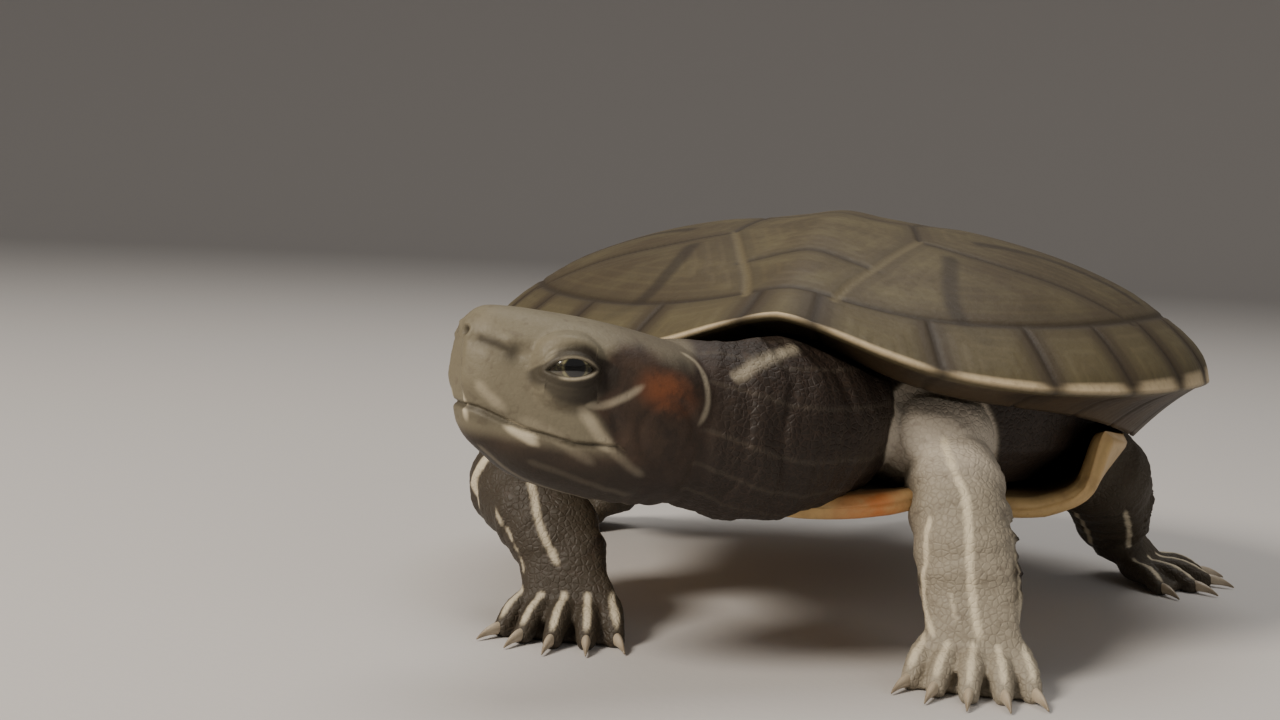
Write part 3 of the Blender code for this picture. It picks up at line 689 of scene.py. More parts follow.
def build_carapace():
    """The domed shell with its scutes, keel and toothed margin, and the masks for its colours."""
    turn = np.linspace(0.0, 2 * math.pi, SHELL_SPOKES, endpoint=False)
    radii = np.concatenate((np.linspace(0.004, 0.8, 76), np.linspace(0.808, 1.0, 34)))   # finer margin
    r, a = np.meshgrid(radii, turn, indexing="ij")
    top = carapace_points(r, a)
    flat = top.reshape(-1, 3)
    marks = [mark.reshape(r.shape) for mark in shell_marks(r.ravel(), a.ravel(), flat)]
    top = top + grid_normals(top) * carapace_relief(r, flat, marks[0])[:, :, None]
    groove = np.minimum(marks[2][-1], 3.0)
    rim = carapace_rim(top[-1])
    below = marginal_underside(rim[-1], underside_points(turn), groove)
    rows = np.concatenate((top, np.stack(rim + below + carapace_inside(turn))))
    made = mesh_object("carapace_shell", body_points(rows.reshape(-1, 3)),
                       closed_faces(len(rows), SHELL_SPOKES))
    lower = np.ones((len(rim) + len(below), SHELL_SPOKES))
    inside = np.zeros((len(INSIDE_REACHES), SHELL_SPOKES))
    for name, on_top, on_lower in carapace_masks(r, flat, top, marks, groove):
        mask = (on_top.reshape(r.shape), on_lower * lower, inside)
        write_mask(made, name, np.concatenate(mask).ravel())
    return made


def shell_surface():
    """Horn of the scutes: dull olive brown, dark seams, pale rim and lines, faint growth rings;
    painted shade on the dome's flanks and under the edge.
    """
    s = Surface("scute_horn")
    mottle = s.noise(4.2, 5.0, 0.62)
    fine = s.noise(0.5, 3.0, 0.6)
    s.colour = s.mix(s.band(mottle, 0.36, 0.68), SHELL_OLIVE, SHELL_GREEN)
    # painted shade: the dome darkens away from its middle, as though its flanks were in shade
    s.paint(SHELL_BROWN, s.math("SUBTRACT", 1.0, s.mask("centre")), 0.35)
    s.paint(SHELL_GREEN, "marginal", 0.55)
    border = s.times(s.band(s.mask("seam_distance"), 2.2, 0.3), 0.42)
    s.paint(SHELL_BROWN, border, s.band(mottle, 0.2, 0.6))
    rings = s.math("SINE", s.times(s.mask("seam_distance"), 6.6))
    s.paint(SHELL_PALE, s.band(rings, 0.2, 1.0), 0.05)
    s.paint(SHELL_SEAM, "bar", 0.70)
    s.paint(SHELL_BROWN, "blotch", 0.72)
    # painted shade on the marginals' lower faces, under the edge
    s.paint(UNDER_RIM_SHADE, "below")
    s.paint(BELLY_DARK, s.times(s.mask("below"), s.mask("blotch")), 0.9)
    s.paint(SHELL_SEAM, "seam", 0.72)
    s.paint(SHELL_PALE, "side_line", 0.38)
    s.paint(RIM_CREAM, "rim", 0.90)
    s.paint(SHELL_BROWN, s.band(fine, 0.45, 0.75), 0.20)
    ridges = s.bump(s.band(rings, -1.0, 1.0), 0.008)
    rough = s.math("ADD", 0.44, s.times(fine, 0.2))
    return s.finish(rough, s.bump(fine, 0.03, ridges), Specular_IOR_Level=0.35)


# ---------------- plastron and bridges
# Edge of the plate before and behind the bridges, in the shell's frame: (y, half width)
LOBE_OUTLINE = ((-26.6, 3.4), (-26.2, 5.6), (-24.8, 7.8), (-22.0, 10.0), (-18.0, 12.0),
                (-14.6, 13.4), (14.4, 14.4), (18.0, 13.4), (21.4, 11.4), (24.4, 8.2), (26.0, 4.6))
# Seams across the plate: y
BELLY_SEAMS = (-21.0, -13.6, -6.4, 5.6, 17.2)
BELLY_SPOTS = ((3.4, 1.5), (5.4, 2.0), (6.4, 2.3), (6.8, 2.6), (6.2, 2.3), (4.6, 1.8))   # x, size
AXILLA = 14.4              # the bridge's ends, forward and back of mid length
BELLY_ROWS = 180
BELLY_COLUMNS = 150


def bridge_border(y):
    """Inner border of the marginals' lower faces at a place along the shell, shell frame."""
    a = math.acos(max(-1.0, min(1.0, -(y - WIDEST_SHIFT) / (SHELL_LENGTH / 2))))
    return underside_points(np.array(a))


def belly_section(y):
    """Half of the plastron's outer section at y: out along the plate and up the bridge."""
    border = bridge_border(y)
    low = -PLASTRON_DROP
    return np.array(catmull((
        (0.0, low), (8.0, low), (14.4, low + 0.03), (17.5, low + 0.45), (20.4, low + 2.3),
        (border[0] - 0.1, border[2] - 0.3)), 10))


def belly_reach(y, full):
    """How far the plate reaches out along its section at y: to the lobe's edge or up the bridge."""
    lobe = float(np.interp(y, *np.array(LOBE_OUTLINE).T))
    bridge = float(smoothstep(AXILLA, BRIDGE_HALF_LENGTH - 2.6, abs(y + 0.2)))
    return lobe + (full - lobe) * bridge ** 1.5


def belly_grid():
    """Outer face of the plastron and bridges: points, distance out along the section, edge gap."""
    points, arcs, outline = [], [], []
    levels = np.linspace(LOBE_OUTLINE[0][0], LOBE_OUTLINE[-1][0], BELLY_ROWS)
    share = np.linspace(-1.0, 1.0, BELLY_COLUMNS)
    for y in levels:
        section = belly_section(y)
        run = np.concatenate(([0.0], np.cumsum(np.hypot(*np.diff(section, axis=0).T))))
        half = belly_reach(y, run[-1])
        s = np.abs(share) * half
        x = np.interp(s, run, section[:, 0]) * np.sign(share)
        z = np.interp(s, run, section[:, 1])
        z += 0.012 * x * x * np.clip((-13.0 - y) / 8.0, 0.0, 1.0)
        points.append(np.stack((x, np.full_like(x, y), z), -1))
        arcs.append(s)
        outline.append((half, y))
    points, arcs = np.array(points), np.array(arcs)
    border = [(0.0, levels[0])] + outline + [(0.0, levels[-1])]
    spots = np.stack((arcs.ravel(), points[:, :, 1].ravel()), -1)
    gap = distance_to_path(spots, border).reshape(arcs.shape)
    notch = smoothstep(22.0, 26.0, points[:, :, 1]) * hill(points[:, :, 0], 3.2)
    points[:, :, 1] -= 2.6 * notch
    return points, arcs, gap


def belly_seams(flat, arcs):
    """Distance to the nearest seam between the plastron's scutes."""
    seam = np.abs(flat[:, 0]) + 10.0 * (arcs > 14.0)
    for i, y in enumerate(BELLY_SEAMS):
        bow = 0.010 * np.minimum(arcs, 16.0) ** 2 * (-1 if i == 1 else 1)
        seam = np.minimum(seam, np.abs(flat[:, 1] - y + bow) + 10.0 * (arcs > 17.0))
    return np.minimum(seam, np.abs(arcs - 17.0) + 20.0 * (np.abs(flat[:, 1]) > 11.0))


def belly_spots(flat, arcs):
    """The dark ringed smudge in each plastral scute, and blots on the bridges."""
    spots = np.zeros(len(flat))
    edges = (-25.4,) + BELLY_SEAMS + (24.0,)
    for k, (x, size) in enumerate(BELLY_SPOTS):
        y = (edges[k] + edges[k + 1]) / 2
        away = np.hypot((np.abs(flat[:, 0]) - x) / 1.15, flat[:, 1] - y)
        heart = 0.75 * smoothstep(size - 0.7, size - 1.3, away)
        spots = np.maximum(spots, smoothstep(size + 0.5, size - 0.2, away) - heart)
    for y in (-7.6, -0.4, 7.2):
        away = np.hypot((arcs - 20.0) / 0.9, flat[:, 1] - y)
        spots = np.maximum(spots, smoothstep(2.2, 1.2, away))
    return spots


def build_plastron():
    """The flat lower shell and the two bridges that climb to the marginal scutes."""
    outer, arcs, gap = belly_grid()
    flat, arcs = outer.reshape(-1, 3), arcs.ravel()
    seam = belly_seams(flat, arcs)
    normal = unit(np.cross(np.gradient(outer, axis=1), np.gradient(outer, axis=0)))
    normal *= np.where(normal[:, :, 2:] > 0.0, -1.0, 1.0)
    round_off = 0.5 * PLASTRON_WALL
    thin = np.sqrt(np.clip(1.0 - (1.0 - np.minimum(gap, round_off) / round_off) ** 2, 0.0, 1.0))
    sink = 0.10 + 0.13 * hill(seam, 0.22) - 0.08 * smoothstep(0.0, 2.5, seam)
    down = outer - normal * (sink.reshape(gap.shape) * thin + round_off * (1 - thin))[:, :, None]
    up = outer - normal * (round_off * (1.0 + thin))[:, :, None]
    size = BELLY_ROWS * BELLY_COLUMNS
    plate = grid_faces(BELLY_ROWS, BELLY_COLUMNS, False)
    faces = [face[::-1] for face in plate] + [tuple(i + size for i in face) for face in plate]
    index = np.arange(size).reshape(BELLY_ROWS, BELLY_COLUMNS)
    border = np.concatenate((index[0], index[1:, -1], index[-1, -2::-1], index[-2:0:-1, 0]))
    for here, there in zip(border, np.roll(border, -1)):
        faces.append((int(here), int(there), int(there) + size, int(here) + size))
    points = np.concatenate((down.reshape(-1, 3), up.reshape(-1, 3)))
    made = mesh_object("plastron_shell", body_points(points), faces)
    face_outward(made)
    blush = hill(flat[:, 1] + 25.0, 2.4) * hill(np.abs(flat[:, 0]) - 6.4, 2.2)
    spots = belly_spots(flat, arcs)
    for name, low, high in (("seam", smoothstep(0.5, 0.1, seam), 0.0 * seam),
                            ("spot", spots, 0.0 * spots), ("blush", blush, blush)):
        write_mask(made, name, np.concatenate((low, high)))
    return made


def belly_surface():
    """Horn of the plastron: warm cream with dark ringed smudges and an orange front edge."""
    s = Surface("belly_horn")
    mottle = s.noise(2.4, 4.0, 0.6)
    fine = s.noise(0.45, 3.0, 0.6)
    s.colour = s.mix(s.band(mottle, 0.4, 0.8), BELLY_CREAM, BELLY_SHADE)
    s.paint(BELLY_DARK, s.times(s.mask("spot"), s.band(mottle, 0.25, 0.5)), 0.9)
    s.paint(BELLY_ORANGE, s.times(s.mask("blush"), s.band(mottle, 0.2, 0.6)), 0.9)
    s.paint(SHELL_BROWN, "seam", 0.6)
    s.paint(BELLY_SHADE, s.band(fine, 0.5, 0.8), 0.3)
    rough = s.math("ADD", 0.36, s.times(fine, 0.2))
    return s.finish(rough, s.bump(fine, 0.03, s.bump(mottle, 0.05)), Specular_IOR_Level=0.4)


# ---------------- flesh
HEAD_STATIONS = (         # from the occiput: along, half width, top, bottom
    (-1.6, 4.2, 2.8, 5.4), (0.0, 4.9, 3.5, 6.0), (2.6, 5.8, 4.0, 6.5), (5.6, 5.75, 4.3, 6.6),
    (8.4, 5.1, 4.4, 6.4), (10.8, 4.3, 4.35, 6.0), (13.0, 3.4, 4.25, 5.1),
    (14.8, 2.5, 3.95, 4.25), (15.8, 1.4, 3.0, 3.2))
# In the head frame: (along, up) for the mouth, (along, aside, up) for the rest
MOUTH_LINE = ((17.0, -2.1), (14.6, -2.15), (12.0, -2.8), (9.0, -3.1), (6.6, -2.8), (5.5, -3.3))
BROW = ((13.6, 3.0, 2.2), (12.0, 4.1, 2.75), (10.4, 4.9, 3.0), (8.4, 5.2, 2.9))
CANTHUS = ((15.2, 1.7, 1.8), (14.2, 2.6, 1.6), (13.2, 3.3, 1.6))
CHEEK_CREASE = ((8.6, 5.0, 0.2), (7.4, 5.4, -0.9), (6.6, 5.5, -2.2))
NOSTRIL = (15.6, 0.78, 2.3)
NECK_STATIONS = (         # shell frame: x, y, z, half width, half depth
    (0.6, -14.0, -2.2, 6.2, 5.0), (0.4, -20.0, -2.3, 7.0, 5.6), (-0.5, -25.2, -2.8, 6.7, 6.1),
    (-2.9, -28.9, -3.0, 5.9, 6.1), (-6.2, -31.2, -2.6, 5.0, 5.2))
TAIL_STATIONS = (         # likewise
    (0.0, 19.0, -3.6, 3.6, 3.2), (0.2, 25.5, -4.4, 2.5, 2.3), (1.2, 30.5, -6.0, 1.5, 1.4),
    (2.9, 34.6, -7.6, 0.9, 0.85), (4.6, 37.6, -8.6, 0.5, 0.5))
# Legs, in the draft frame: x, y, z, half width, half depth
UPPER_ARM = {
    1: ((8.8, -11.0, 14.6, 4.4, 4.2), (9.0, -16.2, 14.9, 4.3, 4.0), (9.4, -20.0, 15.4, 4.2, 3.3)),
    -1: ((-9.4, -10.5, 14.2, 4.4, 4.2), (-15.4, -14.0, 12.8, 4.1, 3.9),
         (-20.8, -17.3, 10.1, 3.6, 3.5))}
FOREARM = {
    1: ((11.1, -21.2, 13.0, 3.3, 3.3), (12.2, -23.4, 9.0, 3.25, 2.8),
        (12.9, -24.2, 6.3, 3.35, 2.1)),
    -1: ((-20.8, -18.1, 9.6, 3.5, 3.4), (-18.3, -20.7, 8.4, 3.4, 3.0),
         (-15.9, -22.4, 6.4, 3.3, 2.2))}
THIGH = ((9.6, 14.0, 13.0, 5.0, 4.8), (15.2, 11.4, 12.6, 4.9, 4.6), (20.2, 9.6, 10.6, 4.1, 4.0))
SHANK = ((21.0, 9.8, 10.0, 3.9, 3.8), (21.8, 13.4, 7.4, 3.4, 3.1), (22.2, 16.6, 4.6, 2.9, 2.3))
SIDES = {1: "left", -1: "right"}


def flip(rows, sign):
    """Station rows for the animal's left (sign 1) or right (sign -1)."""
    return [(row[0] * sign, *row[1:]) for row in rows]


class Foot:
    """Where one foot stands and how its toes spread."""

    def __init__(self, wrist, ball_point, heading, spread, lengths, palm, web):
        self.wrist = wrist            # x, y, z, half width, half depth
        self.ball_point = ball_point  # where the toes part, over the floor
        self.heading = heading        # direction of the middle of the fan, from +X
        self.spread = spread          # angle between the first and last toe
        self.lengths = lengths        # of each toe, from the ball to its tip
        self.palm = palm              # half width of the ball of the foot
        self.web = web                # how far the web follows the toes, as a fraction

    def axes(self):
        """The way that the foot points over the floor, and the way across it."""
        forward = Vector((math.cos(self.heading), math.sin(self.heading), 0.0))
        return forward, Vector((forward.y, -forward.x, 0.0))

    def toe_ray(self, i):
        """Root and tip of toe i, and its way over the floor."""
        share = i / (len(self.lengths) - 1) - 0.5
        angle = self.heading - self.spread * share
        forward, across = self.axes()
        turn = math.copysign(1.7, self.spread)
        root = (Vector(self.ball_point) + across * self.palm * turn * share
                - forward * abs(share) * 1.2)
        way = Vector((math.cos(angle), math.sin(angle), 0.0))
        tip = Vector((root.x, root.y, 0.0)) + way * self.lengths[i]
        tip.z = TOE_TIP_RADIUS - 0.08
        return root, tip, way

    def mirrored(self):
        """The same foot on the animal's other side."""
        wrist, point = self.wrist, self.ball_point
        return Foot((-wrist[0], *wrist[1:]), (-point[0], *point[1:]), math.pi - self.heading,
                    -self.spread, self.lengths, self.palm, self.web)


FRONT_TOES = (2.3, 3.2, 3.5, 3.3, 2.6)
FRONT_FOOT = {
    1: Foot((13.0, -24.3, 5.9, 3.3, 2.0), (13.4, -26.1, 2.5), math.radians(-88),
            math.radians(-50), FRONT_TOES, 3.3, 0.62),
    -1: Foot((-15.6, -22.6, 5.9, 3.2, 2.0), (-14.4, -24.7, 2.5), math.radians(-88),
             math.radians(58), FRONT_TOES, 3.3, 0.62)}
HIND_FOOT_LEFT = Foot((22.6, 17.8, 3.6, 2.7, 2.1), (25.6, 16.8, 1.5), math.radians(-20),
                      math.radians(66), (3.9, 4.7, 4.7, 4.0), 3.4, 0.8)
HIND_FOOT = {1: HIND_FOOT_LEFT, -1: HIND_FOOT_LEFT.mirrored()}
LIMBS = [(UPPER_ARM[side], FOREARM[side]) for side in SIDES]
LIMBS += [(flip(THIGH, side), flip(SHANK, side)) for side in SIDES]
KNUCKLE_RISE = 0.35        # of a toe's middle over its straight line
HEAD_SIDES = 56
SECTION_POWER = 2.2        # how square a limb's section is: 2 is an ellipse


class Mass:
    """Points and faces of overlapping closed forms, gathered before one skin covers them."""

    def __init__(self):
        self.points = []
        self.faces = []

    def add_rings(self, rings):
        """A closed form skinned over rings of equal point count."""
        base = len(self.points)
        for ring in rings:
            self.points += [tuple(p) for p in ring]
        faces = closed_faces(len(rings), len(rings[0]))
        self.faces += [tuple(base + i for i in face) for face in faces]

    def add_tube(self, stations, steps=8, sides=28, across=(1, 0, 0), power=SECTION_POWER):
        """A limb: rows of (x, y, z, half width, half depth) skinned along their smooth path."""
        sections = tube_rings(stations, steps, across)
        rings = [section.points(sides, power) for section in sections]
        for scale, shift in ((0.85, 0.45), (0.45, 0.8)):
            rings.insert(0, sections[0].points(sides, power, scale, -shift))
            rings.append(sections[-1].points(sides, power, scale, shift))
        self.add_rings(rings)

    def add_ball(self, centre, radius, segments=28):
        """A round form."""
        steps = segments // 2
        self.add_rings([[centre + on_sphere(math.pi * i / steps, t) * radius
                         for t in turns(segments)] for i in range(1, steps)])


class Ring:
    """One section of a limb: its middle, its axes and its half sizes."""

    def __init__(self, centre, tangent, across, half_width, half_depth):
        self.centre = centre
        self.tangent = tangent
        self.side = (across - tangent * tangent.dot(across)).normalized()
        self.deep = tangent.cross(self.side)
        self.half_width = half_width
        self.half_depth = half_depth

    def at(self, angle, scale=1.0, power=SECTION_POWER):
        """The point of the section at an angle from its side axis."""
        a = squarish(math.cos(angle), power) * self.half_width * scale
        b = squarish(math.sin(angle), power) * self.half_depth * scale
        return self.centre + self.side * a + self.deep * b

    def points(self, sides, power, scale=1.0, shift=0.0):
        """All the section's points, scaled, and moved along the limb by a share of its size."""
        move = self.tangent * shift * min(self.half_width, self.half_depth)
        return [self.at(angle, scale, power) + move for angle in turns(sides)]


def tube_rings(stations, steps=8, across=(1, 0, 0)):
    """The sections along a limb's smooth path."""
    rows = catmull(stations, steps)
    centres = [Vector(row[:3]) for row in rows]
    rings = []
    for i, row in enumerate(rows):
        tangent = (centres[min(i + 1, len(rows) - 1)] - centres[max(i - 1, 0)]).normalized()
        rings.append(Ring(centres[i], tangent, Vector(across), row[3], row[4]))
    return rings


def in_body(stations):
    """Stations of the shell's frame, put into the draft frame."""
    return [(*body_point(*row[:3]), *row[3:]) for row in stations]


def chin_recess(s, height):
    """How far the front of the head falls back below the tip of the beak."""
    front = smoothstep(11.5, 15.0, s)
    return CHIN_RECESS * front * smoothstep(-0.4, -2.6, height)


def add_head(mass):
    """The head as a blunt wedge, with a round swelling of lids over each eyeball."""
    place = head_matrix()
    rings = []
    for s, half_width, up, down in catmull(HEAD_STATIONS, 6):
        power = SECTION_POWER + 0.5 * math.sin(math.pi * max(0.0, min(1.0, s / HEAD_LENGTH)))
        ring = []
        for angle in turns(HEAD_SIDES):
            across = squarish(math.cos(angle), power) * half_width
            height = squarish(math.sin(angle), power) * (up if math.sin(angle) > 0 else down)
            ring.append(place @ Vector((s - chin_recess(s, height), across, height)))
        rings.append(ring)
    mass.add_rings(rings)
    for side in SIDES:
        mass.add_ball(eye_frame(side) @ Vector((0.0, 0.0, 0.15 - EYE_PROUD)), EYE_RADIUS + 0.75)


def add_trunk(mass):
    """The soft body inside the shell, with walls of skin in the openings front and back."""
    turn = np.linspace(0.0, 2 * math.pi, 64, endpoint=False)
    x_edge, y_edge = margin_point(turn)
    rings = []
    depth = SHELL_WALL + 0.55
    for r in (0.08, 0.34, 0.56, 0.73):
        ring = carapace_points(np.full_like(turn, r), turn) * (1.0 - depth * 0.012)
        rings.append(ring - (0, 0, depth * (1.0 + 0.5 * r ** 3)))
    top = carapace_points(np.full_like(turn, 0.73), turn)[:, 2] - 2.6
    floor = -PLASTRON_DROP + PLASTRON_WALL + 0.4
    for r, fraction in ((0.765, 0.45), (0.75, 0.75), (0.66, 0.96), (0.4, 1.0)):
        narrow = 1.0 - 0.16 * np.sin(turn) ** 4 * fraction ** 2
        y = WIDEST_SHIFT + r * (y_edge - WIDEST_SHIFT)
        rings.append(np.stack((r * narrow * x_edge, y, top + (floor - top) * fraction), -1))
    mass.add_rings([body_points(ring) for ring in rings])


def add_foot(mass, foot):
    """Wrist, palm, web and toes of one foot."""
    forward, across = foot.axes()
    point = Vector(foot.ball_point)
    reach = foot.lengths[len(foot.lengths) // 2] * foot.web
    edge = point + forward * reach
    rows = [foot.wrist,
            (*(Vector(foot.wrist[:3]) * 0.4 + point * 0.6), foot.palm * 0.92, 1.35),
            (*point, foot.palm * 1.08, 0.92),
            (edge.x - forward.x * reach * 0.45, edge.y - forward.y * reach * 0.45, 0.72,
             foot.palm * 1.24, 0.50),
            (edge.x - forward.x * 0.5, edge.y - forward.y * 0.5, 0.44, foot.palm * 1.18, 0.34)]
    mass.add_tube(rows, 6, 32, tuple(across), 2.4)
    for i in range(len(foot.lengths)):
        root, tip, way = foot.toe_ray(i)
        back = root * 0.55 + Vector(foot.wrist[:3]) * 0.45
        knuckle = root * 0.45 + tip * 0.55 + Vector((0, 0, KNUCKLE_RISE))
        rows = [(*back, TOE_RADIUS, TOE_RADIUS), (*root, TOE_RADIUS * 1.05, TOE_RADIUS * 1.02),
                (*knuckle, TOE_RADIUS * 0.98, TOE_RADIUS), (*tip, TOE_TIP_RADIUS, TOE_TIP_RADIUS)]
        mass.add_tube(rows, 6, 16, (way.y, -way.x, 0.0))


def gather_flesh():
    """Every form of the body, overlapping, as one object."""
    mass = Mass()
    add_head(mass)
    add_trunk(mass)
    mass.add_tube(in_body(NECK_STATIONS), 8, 40, power=2.1)
    mass.add_tube(in_body(TAIL_STATIONS), 8, 24)
    for side in SIDES:
        mass.add_tube(UPPER_ARM[side])
        mass.add_tube(FOREARM[side])
        mass.add_tube(flip(THIGH, side))
        mass.add_tube(flip(SHANK, side))
        add_foot(mass, FRONT_FOOT[side])
        add_foot(mass, HIND_FOOT[side])
    return mesh_object("skin", mass.points, mass.faces)


def refine(target, chosen):
    """Split the faces whose corners are all among the chosen vertices into four."""
    bm = bmesh.new()
    bm.from_mesh(target.data)
    bm.verts.ensure_lookup_table()
    edges = [e for e in bm.edges if chosen[e.verts[0].index] and chosen[e.verts[1].index]]
    bmesh.ops.subdivide_edges(bm, edges=edges, cuts=1, use_grid_fill=True)
    bmesh.ops.triangulate(bm, faces=[f for f in bm.faces if len(f.verts) > 4])
    bm.to_mesh(target.data)
    bm.free()


def soften(target, rounds, weights=None):
    """Smooth an object's points, all over or where the weights say."""
    step = target.modifiers.new("soften", "SMOOTH")
    step.factor = 0.5
    step.iterations = rounds
    if weights is not None:
        group = target.vertex_groups.new(name="soften")
        for level in np.unique(np.round(weights, 1)):
            chosen = np.nonzero(np.round(weights, 1) == level)[0]
            if level > 0:
                group.add(chosen.tolist(), float(level), "REPLACE")
        step.vertex_group = "soften"
    apply_modifiers(target)
    target.vertex_groups.clear()


def on_head(points):
    """Weight of the head: 1 from the jaw joints forward, fading out over the neck."""
    h = head_coordinates(points)
    near = smoothstep(-1.5, 2.0, h[:, 0])
    inside = np.hypot(h[:, 1], h[:, 2]) < 8.5
    return near * inside * (h[:, 0] < 18.0)


def thin_hidden(skin):
    """Coarsen the skin where the shell hides it."""
    in_shell = shell_coordinates(read_points(skin))
    reach = np.hypot(in_shell[:, 0] / SHELL_WIDTH, (in_shell[:, 1] - WIDEST_SHIFT) / SHELL_LENGTH)
    hidden = (reach < 0.30) & (in_shell[:, 2] > -PLASTRON_DROP + 1.0)
    group = skin.vertex_groups.new(name="hidden")
    group.add(np.nonzero(hidden)[0].tolist(), 1.0, "REPLACE")
    thin = skin.modifiers.new("thin", "DECIMATE")
    thin.ratio = 1.0 - 0.85 * float(hidden.mean())
    thin.vertex_group = "hidden"
    apply_modifiers(skin)
    skin.vertex_groups.clear()


def cover_flesh():
    """One even skin over all the forms, finer on the head and finest round the eyes."""
    skin = gather_flesh()
    step = skin.modifiers.new("cover", "REMESH")
    step.mode = "VOXEL"
    step.voxel_size = SKIN_GRAIN
    apply_modifiers(skin)
    soften(skin, 5)
    thin_hidden(skin)
    refine(skin, on_head(read_points(skin)) > 0.05)
    soften(skin, 1, on_head(read_points(skin)))
    points = read_points(skin)
    close = [np.linalg.norm(points - np.array(eye_frame(side).translation), axis=1) < 3.1
             for side in SIDES]
    refine(skin, close[0] | close[1])
    return skin


# ---------------- sculpting the skin
def eye_opening(local):
    """Distance outward from the slit between the lids, in an eye's frame, negative inside it."""
    u, v = local[:, 0] + 0.02, local[:, 1] + LID_DROP
    bulge = np.clip(1.0 - (u / LID_LENGTH) ** 2, 0.0, 1.0) ** 0.85
    inside = (np.abs(v) - np.where(v > 0, LID_UPPER, LID_LOWER) * bulge) * 0.85
    corner = np.hypot(np.maximum(np.abs(u) - LID_LENGTH, 0.0), v)
    return np.where(np.abs(u) > LID_LENGTH, corner, inside)


def sculpt_eyes(points):
    """Lids: a slit over each eyeball with a rounded lip, and soft folds round it."""
    for side in SIDES:
        local = moved(points, eye_frame(side).inverted())
        radius = np.linalg.norm(local, axis=1)
        outward = (local[:, 2] > -0.6) & (radius < 3.6) & (radius > 0.4)
        gap = eye_opening(local)
        lid = EYE_RADIUS + 0.08 + 0.32 * (1.0 - local[:, 2] / np.maximum(radius, 1e-6))
        lid += 0.05 * hill(gap - 0.14, 0.13) - 0.06 * hill(gap - 0.50, 0.14)
        lid += 0.03 * waves(gap, LID_FOLD) * smoothstep(0.4, 0.8, gap)
        deep = EYE_RADIUS - 0.30
        target = deep + (lid - deep) * smoothstep(-0.13, 0.03, gap)
        weight = smoothstep(1.25, 0.45, gap) * outward * smoothstep(-0.6, 0.4, local[:, 2])
        fresh = radius + (target - radius) * weight
        local *= (fresh / np.maximum(radius, 1e-6))[:, None]
        points = np.where(outward[:, None], moved(local, eye_frame(side)), points)
    return points


def folded(h):
    """Head points with the right side laid over the left."""
    return np.stack((h[:, 0], np.abs(h[:, 1]), h[:, 2]), -1)


def from_spot(h, along, up, length=1.0, height=1.0):
    """Distance from a spot of the head's side, over the half sizes of an oval round it."""
    return np.hypot((h[:, 0] - along) / length, (h[:, 2] - up) / height)


def sculpt_beak(h):
    """Mouth groove under the overhanging beak, nostrils and the edge of the jaw."""
    mouth = signed_distance_2d(h[:, [0, 2]], MOUTH_LINE)
    front = smoothstep(5.2, 7.0, h[:, 0])
    height = -0.36 * hill(mouth, 0.16) * front
    height -= 0.12 * smoothstep(-0.05, -0.3, mouth) * smoothstep(-1.6, -0.4, mouth) * front
    nostril = np.sqrt((h[:, 2] - NOSTRIL[2]) ** 2 + (h[:, 1] - NOSTRIL[1]) ** 2
                      + (0.35 * (h[:, 0] - NOSTRIL[0])) ** 2)
    height += (0.12 * hill(nostril - 0.42, 0.2) - 0.55 * hill(nostril, 0.23)) * (h[:, 0] > 14.3)
    return height


def sculpt_face(h):
    """Brow, the hollow before the eye, eardrum, cheek and the crease behind the mouth."""
    height = 0.24 * hill(distance_to_path(h, catmull(BROW, 4)), 0.65)
    height -= 0.20 * hill(distance_to_path(h, CANTHUS), 0.42)
    drum = from_spot(h, 3.7, -1.4)
    height += (0.08 * hill(drum, 1.2) - 0.10 * hill(drum - 1.8, 0.35)) * (h[:, 1] > 3.5)
    height += 0.16 * hill(from_spot(h, 6.6, -0.6, 2.2, 1.8), 1.0) * (h[:, 1] > 3.0)
    height -= 0.10 * hill(distance_to_path(h, catmull(CHEEK_CREASE, 4)), 0.35)
    return height


def sculpt_head(points, _):
    """Heights of the beak, face and throat."""
    h = folded(head_coordinates(points))
    height = sculpt_beak(h) + sculpt_face(h)
    throat = smoothstep(-3.8, -5.4, h[:, 2]) * smoothstep(9.0, 4.0, h[:, 0])
    height += 0.05 * waves(h[:, 0], THROAT_FOLD, 2.0 * wobble(points, 3.0)) * throat
    return height * on_head(points)


def tube_marks(points, stations):
    """For points near a limb: share along it, distance over radius, and distance along in mm."""
    rings = tube_rings(stations, 6)
    path = np.array([ring.centre for ring in rings])
    radii = np.array([(ring.half_width + ring.half_depth) / 2 for ring in rings])
    near = near_box(points, path, 1.7 * radii.max())
    share, close = np.zeros(len(points)), np.full(len(points), 9.0)
    offset, share[near], _ = nearest_on_path(points[near], path)
    radius = np.interp(share[near], np.linspace(0, 1, len(radii)), radii)
    close[near] = np.linalg.norm(offset, axis=1) / radius
    return share, close, share * path_length(path)


def sculpt_folds(points, _):
    """Heights of loose folds round the neck, at elbows and knees, and rings of scales on the tail."""
    height = np.zeros(len(points))
    sway = wobble(points, 4.0, 3.0)
    share, near, run = tube_marks(points, in_body(NECK_STATIONS))
    on_neck = smoothstep(1.35, 1.05, near) * smoothstep(0.05, 0.3, share) * (1.0 - on_head(points))
    height += 0.11 * waves(run, NECK_FOLD, 3.6 * sway) * on_neck
    height += 0.04 * waves(run, FINE_FOLD, 6.0 * sway) * on_neck
    for upper, lower in LIMBS:
        for stations, first in ((upper, 0.35), (lower, 0.0)):
            share, near, run = tube_marks(points, stations)
            band = smoothstep(1.3, 1.05, near) * smoothstep(first - 0.2, first + 0.1, share)
            band *= smoothstep(1.2, 0.6, share)
            height += 0.09 * waves(run, LEG_FOLD, 3.0 * sway) * band
    share, near, run = tube_marks(points, in_body(TAIL_STATIONS))
    height += 0.06 * waves(run, FINE_FOLD) * smoothstep(1.3, 1.05, near)
    return height


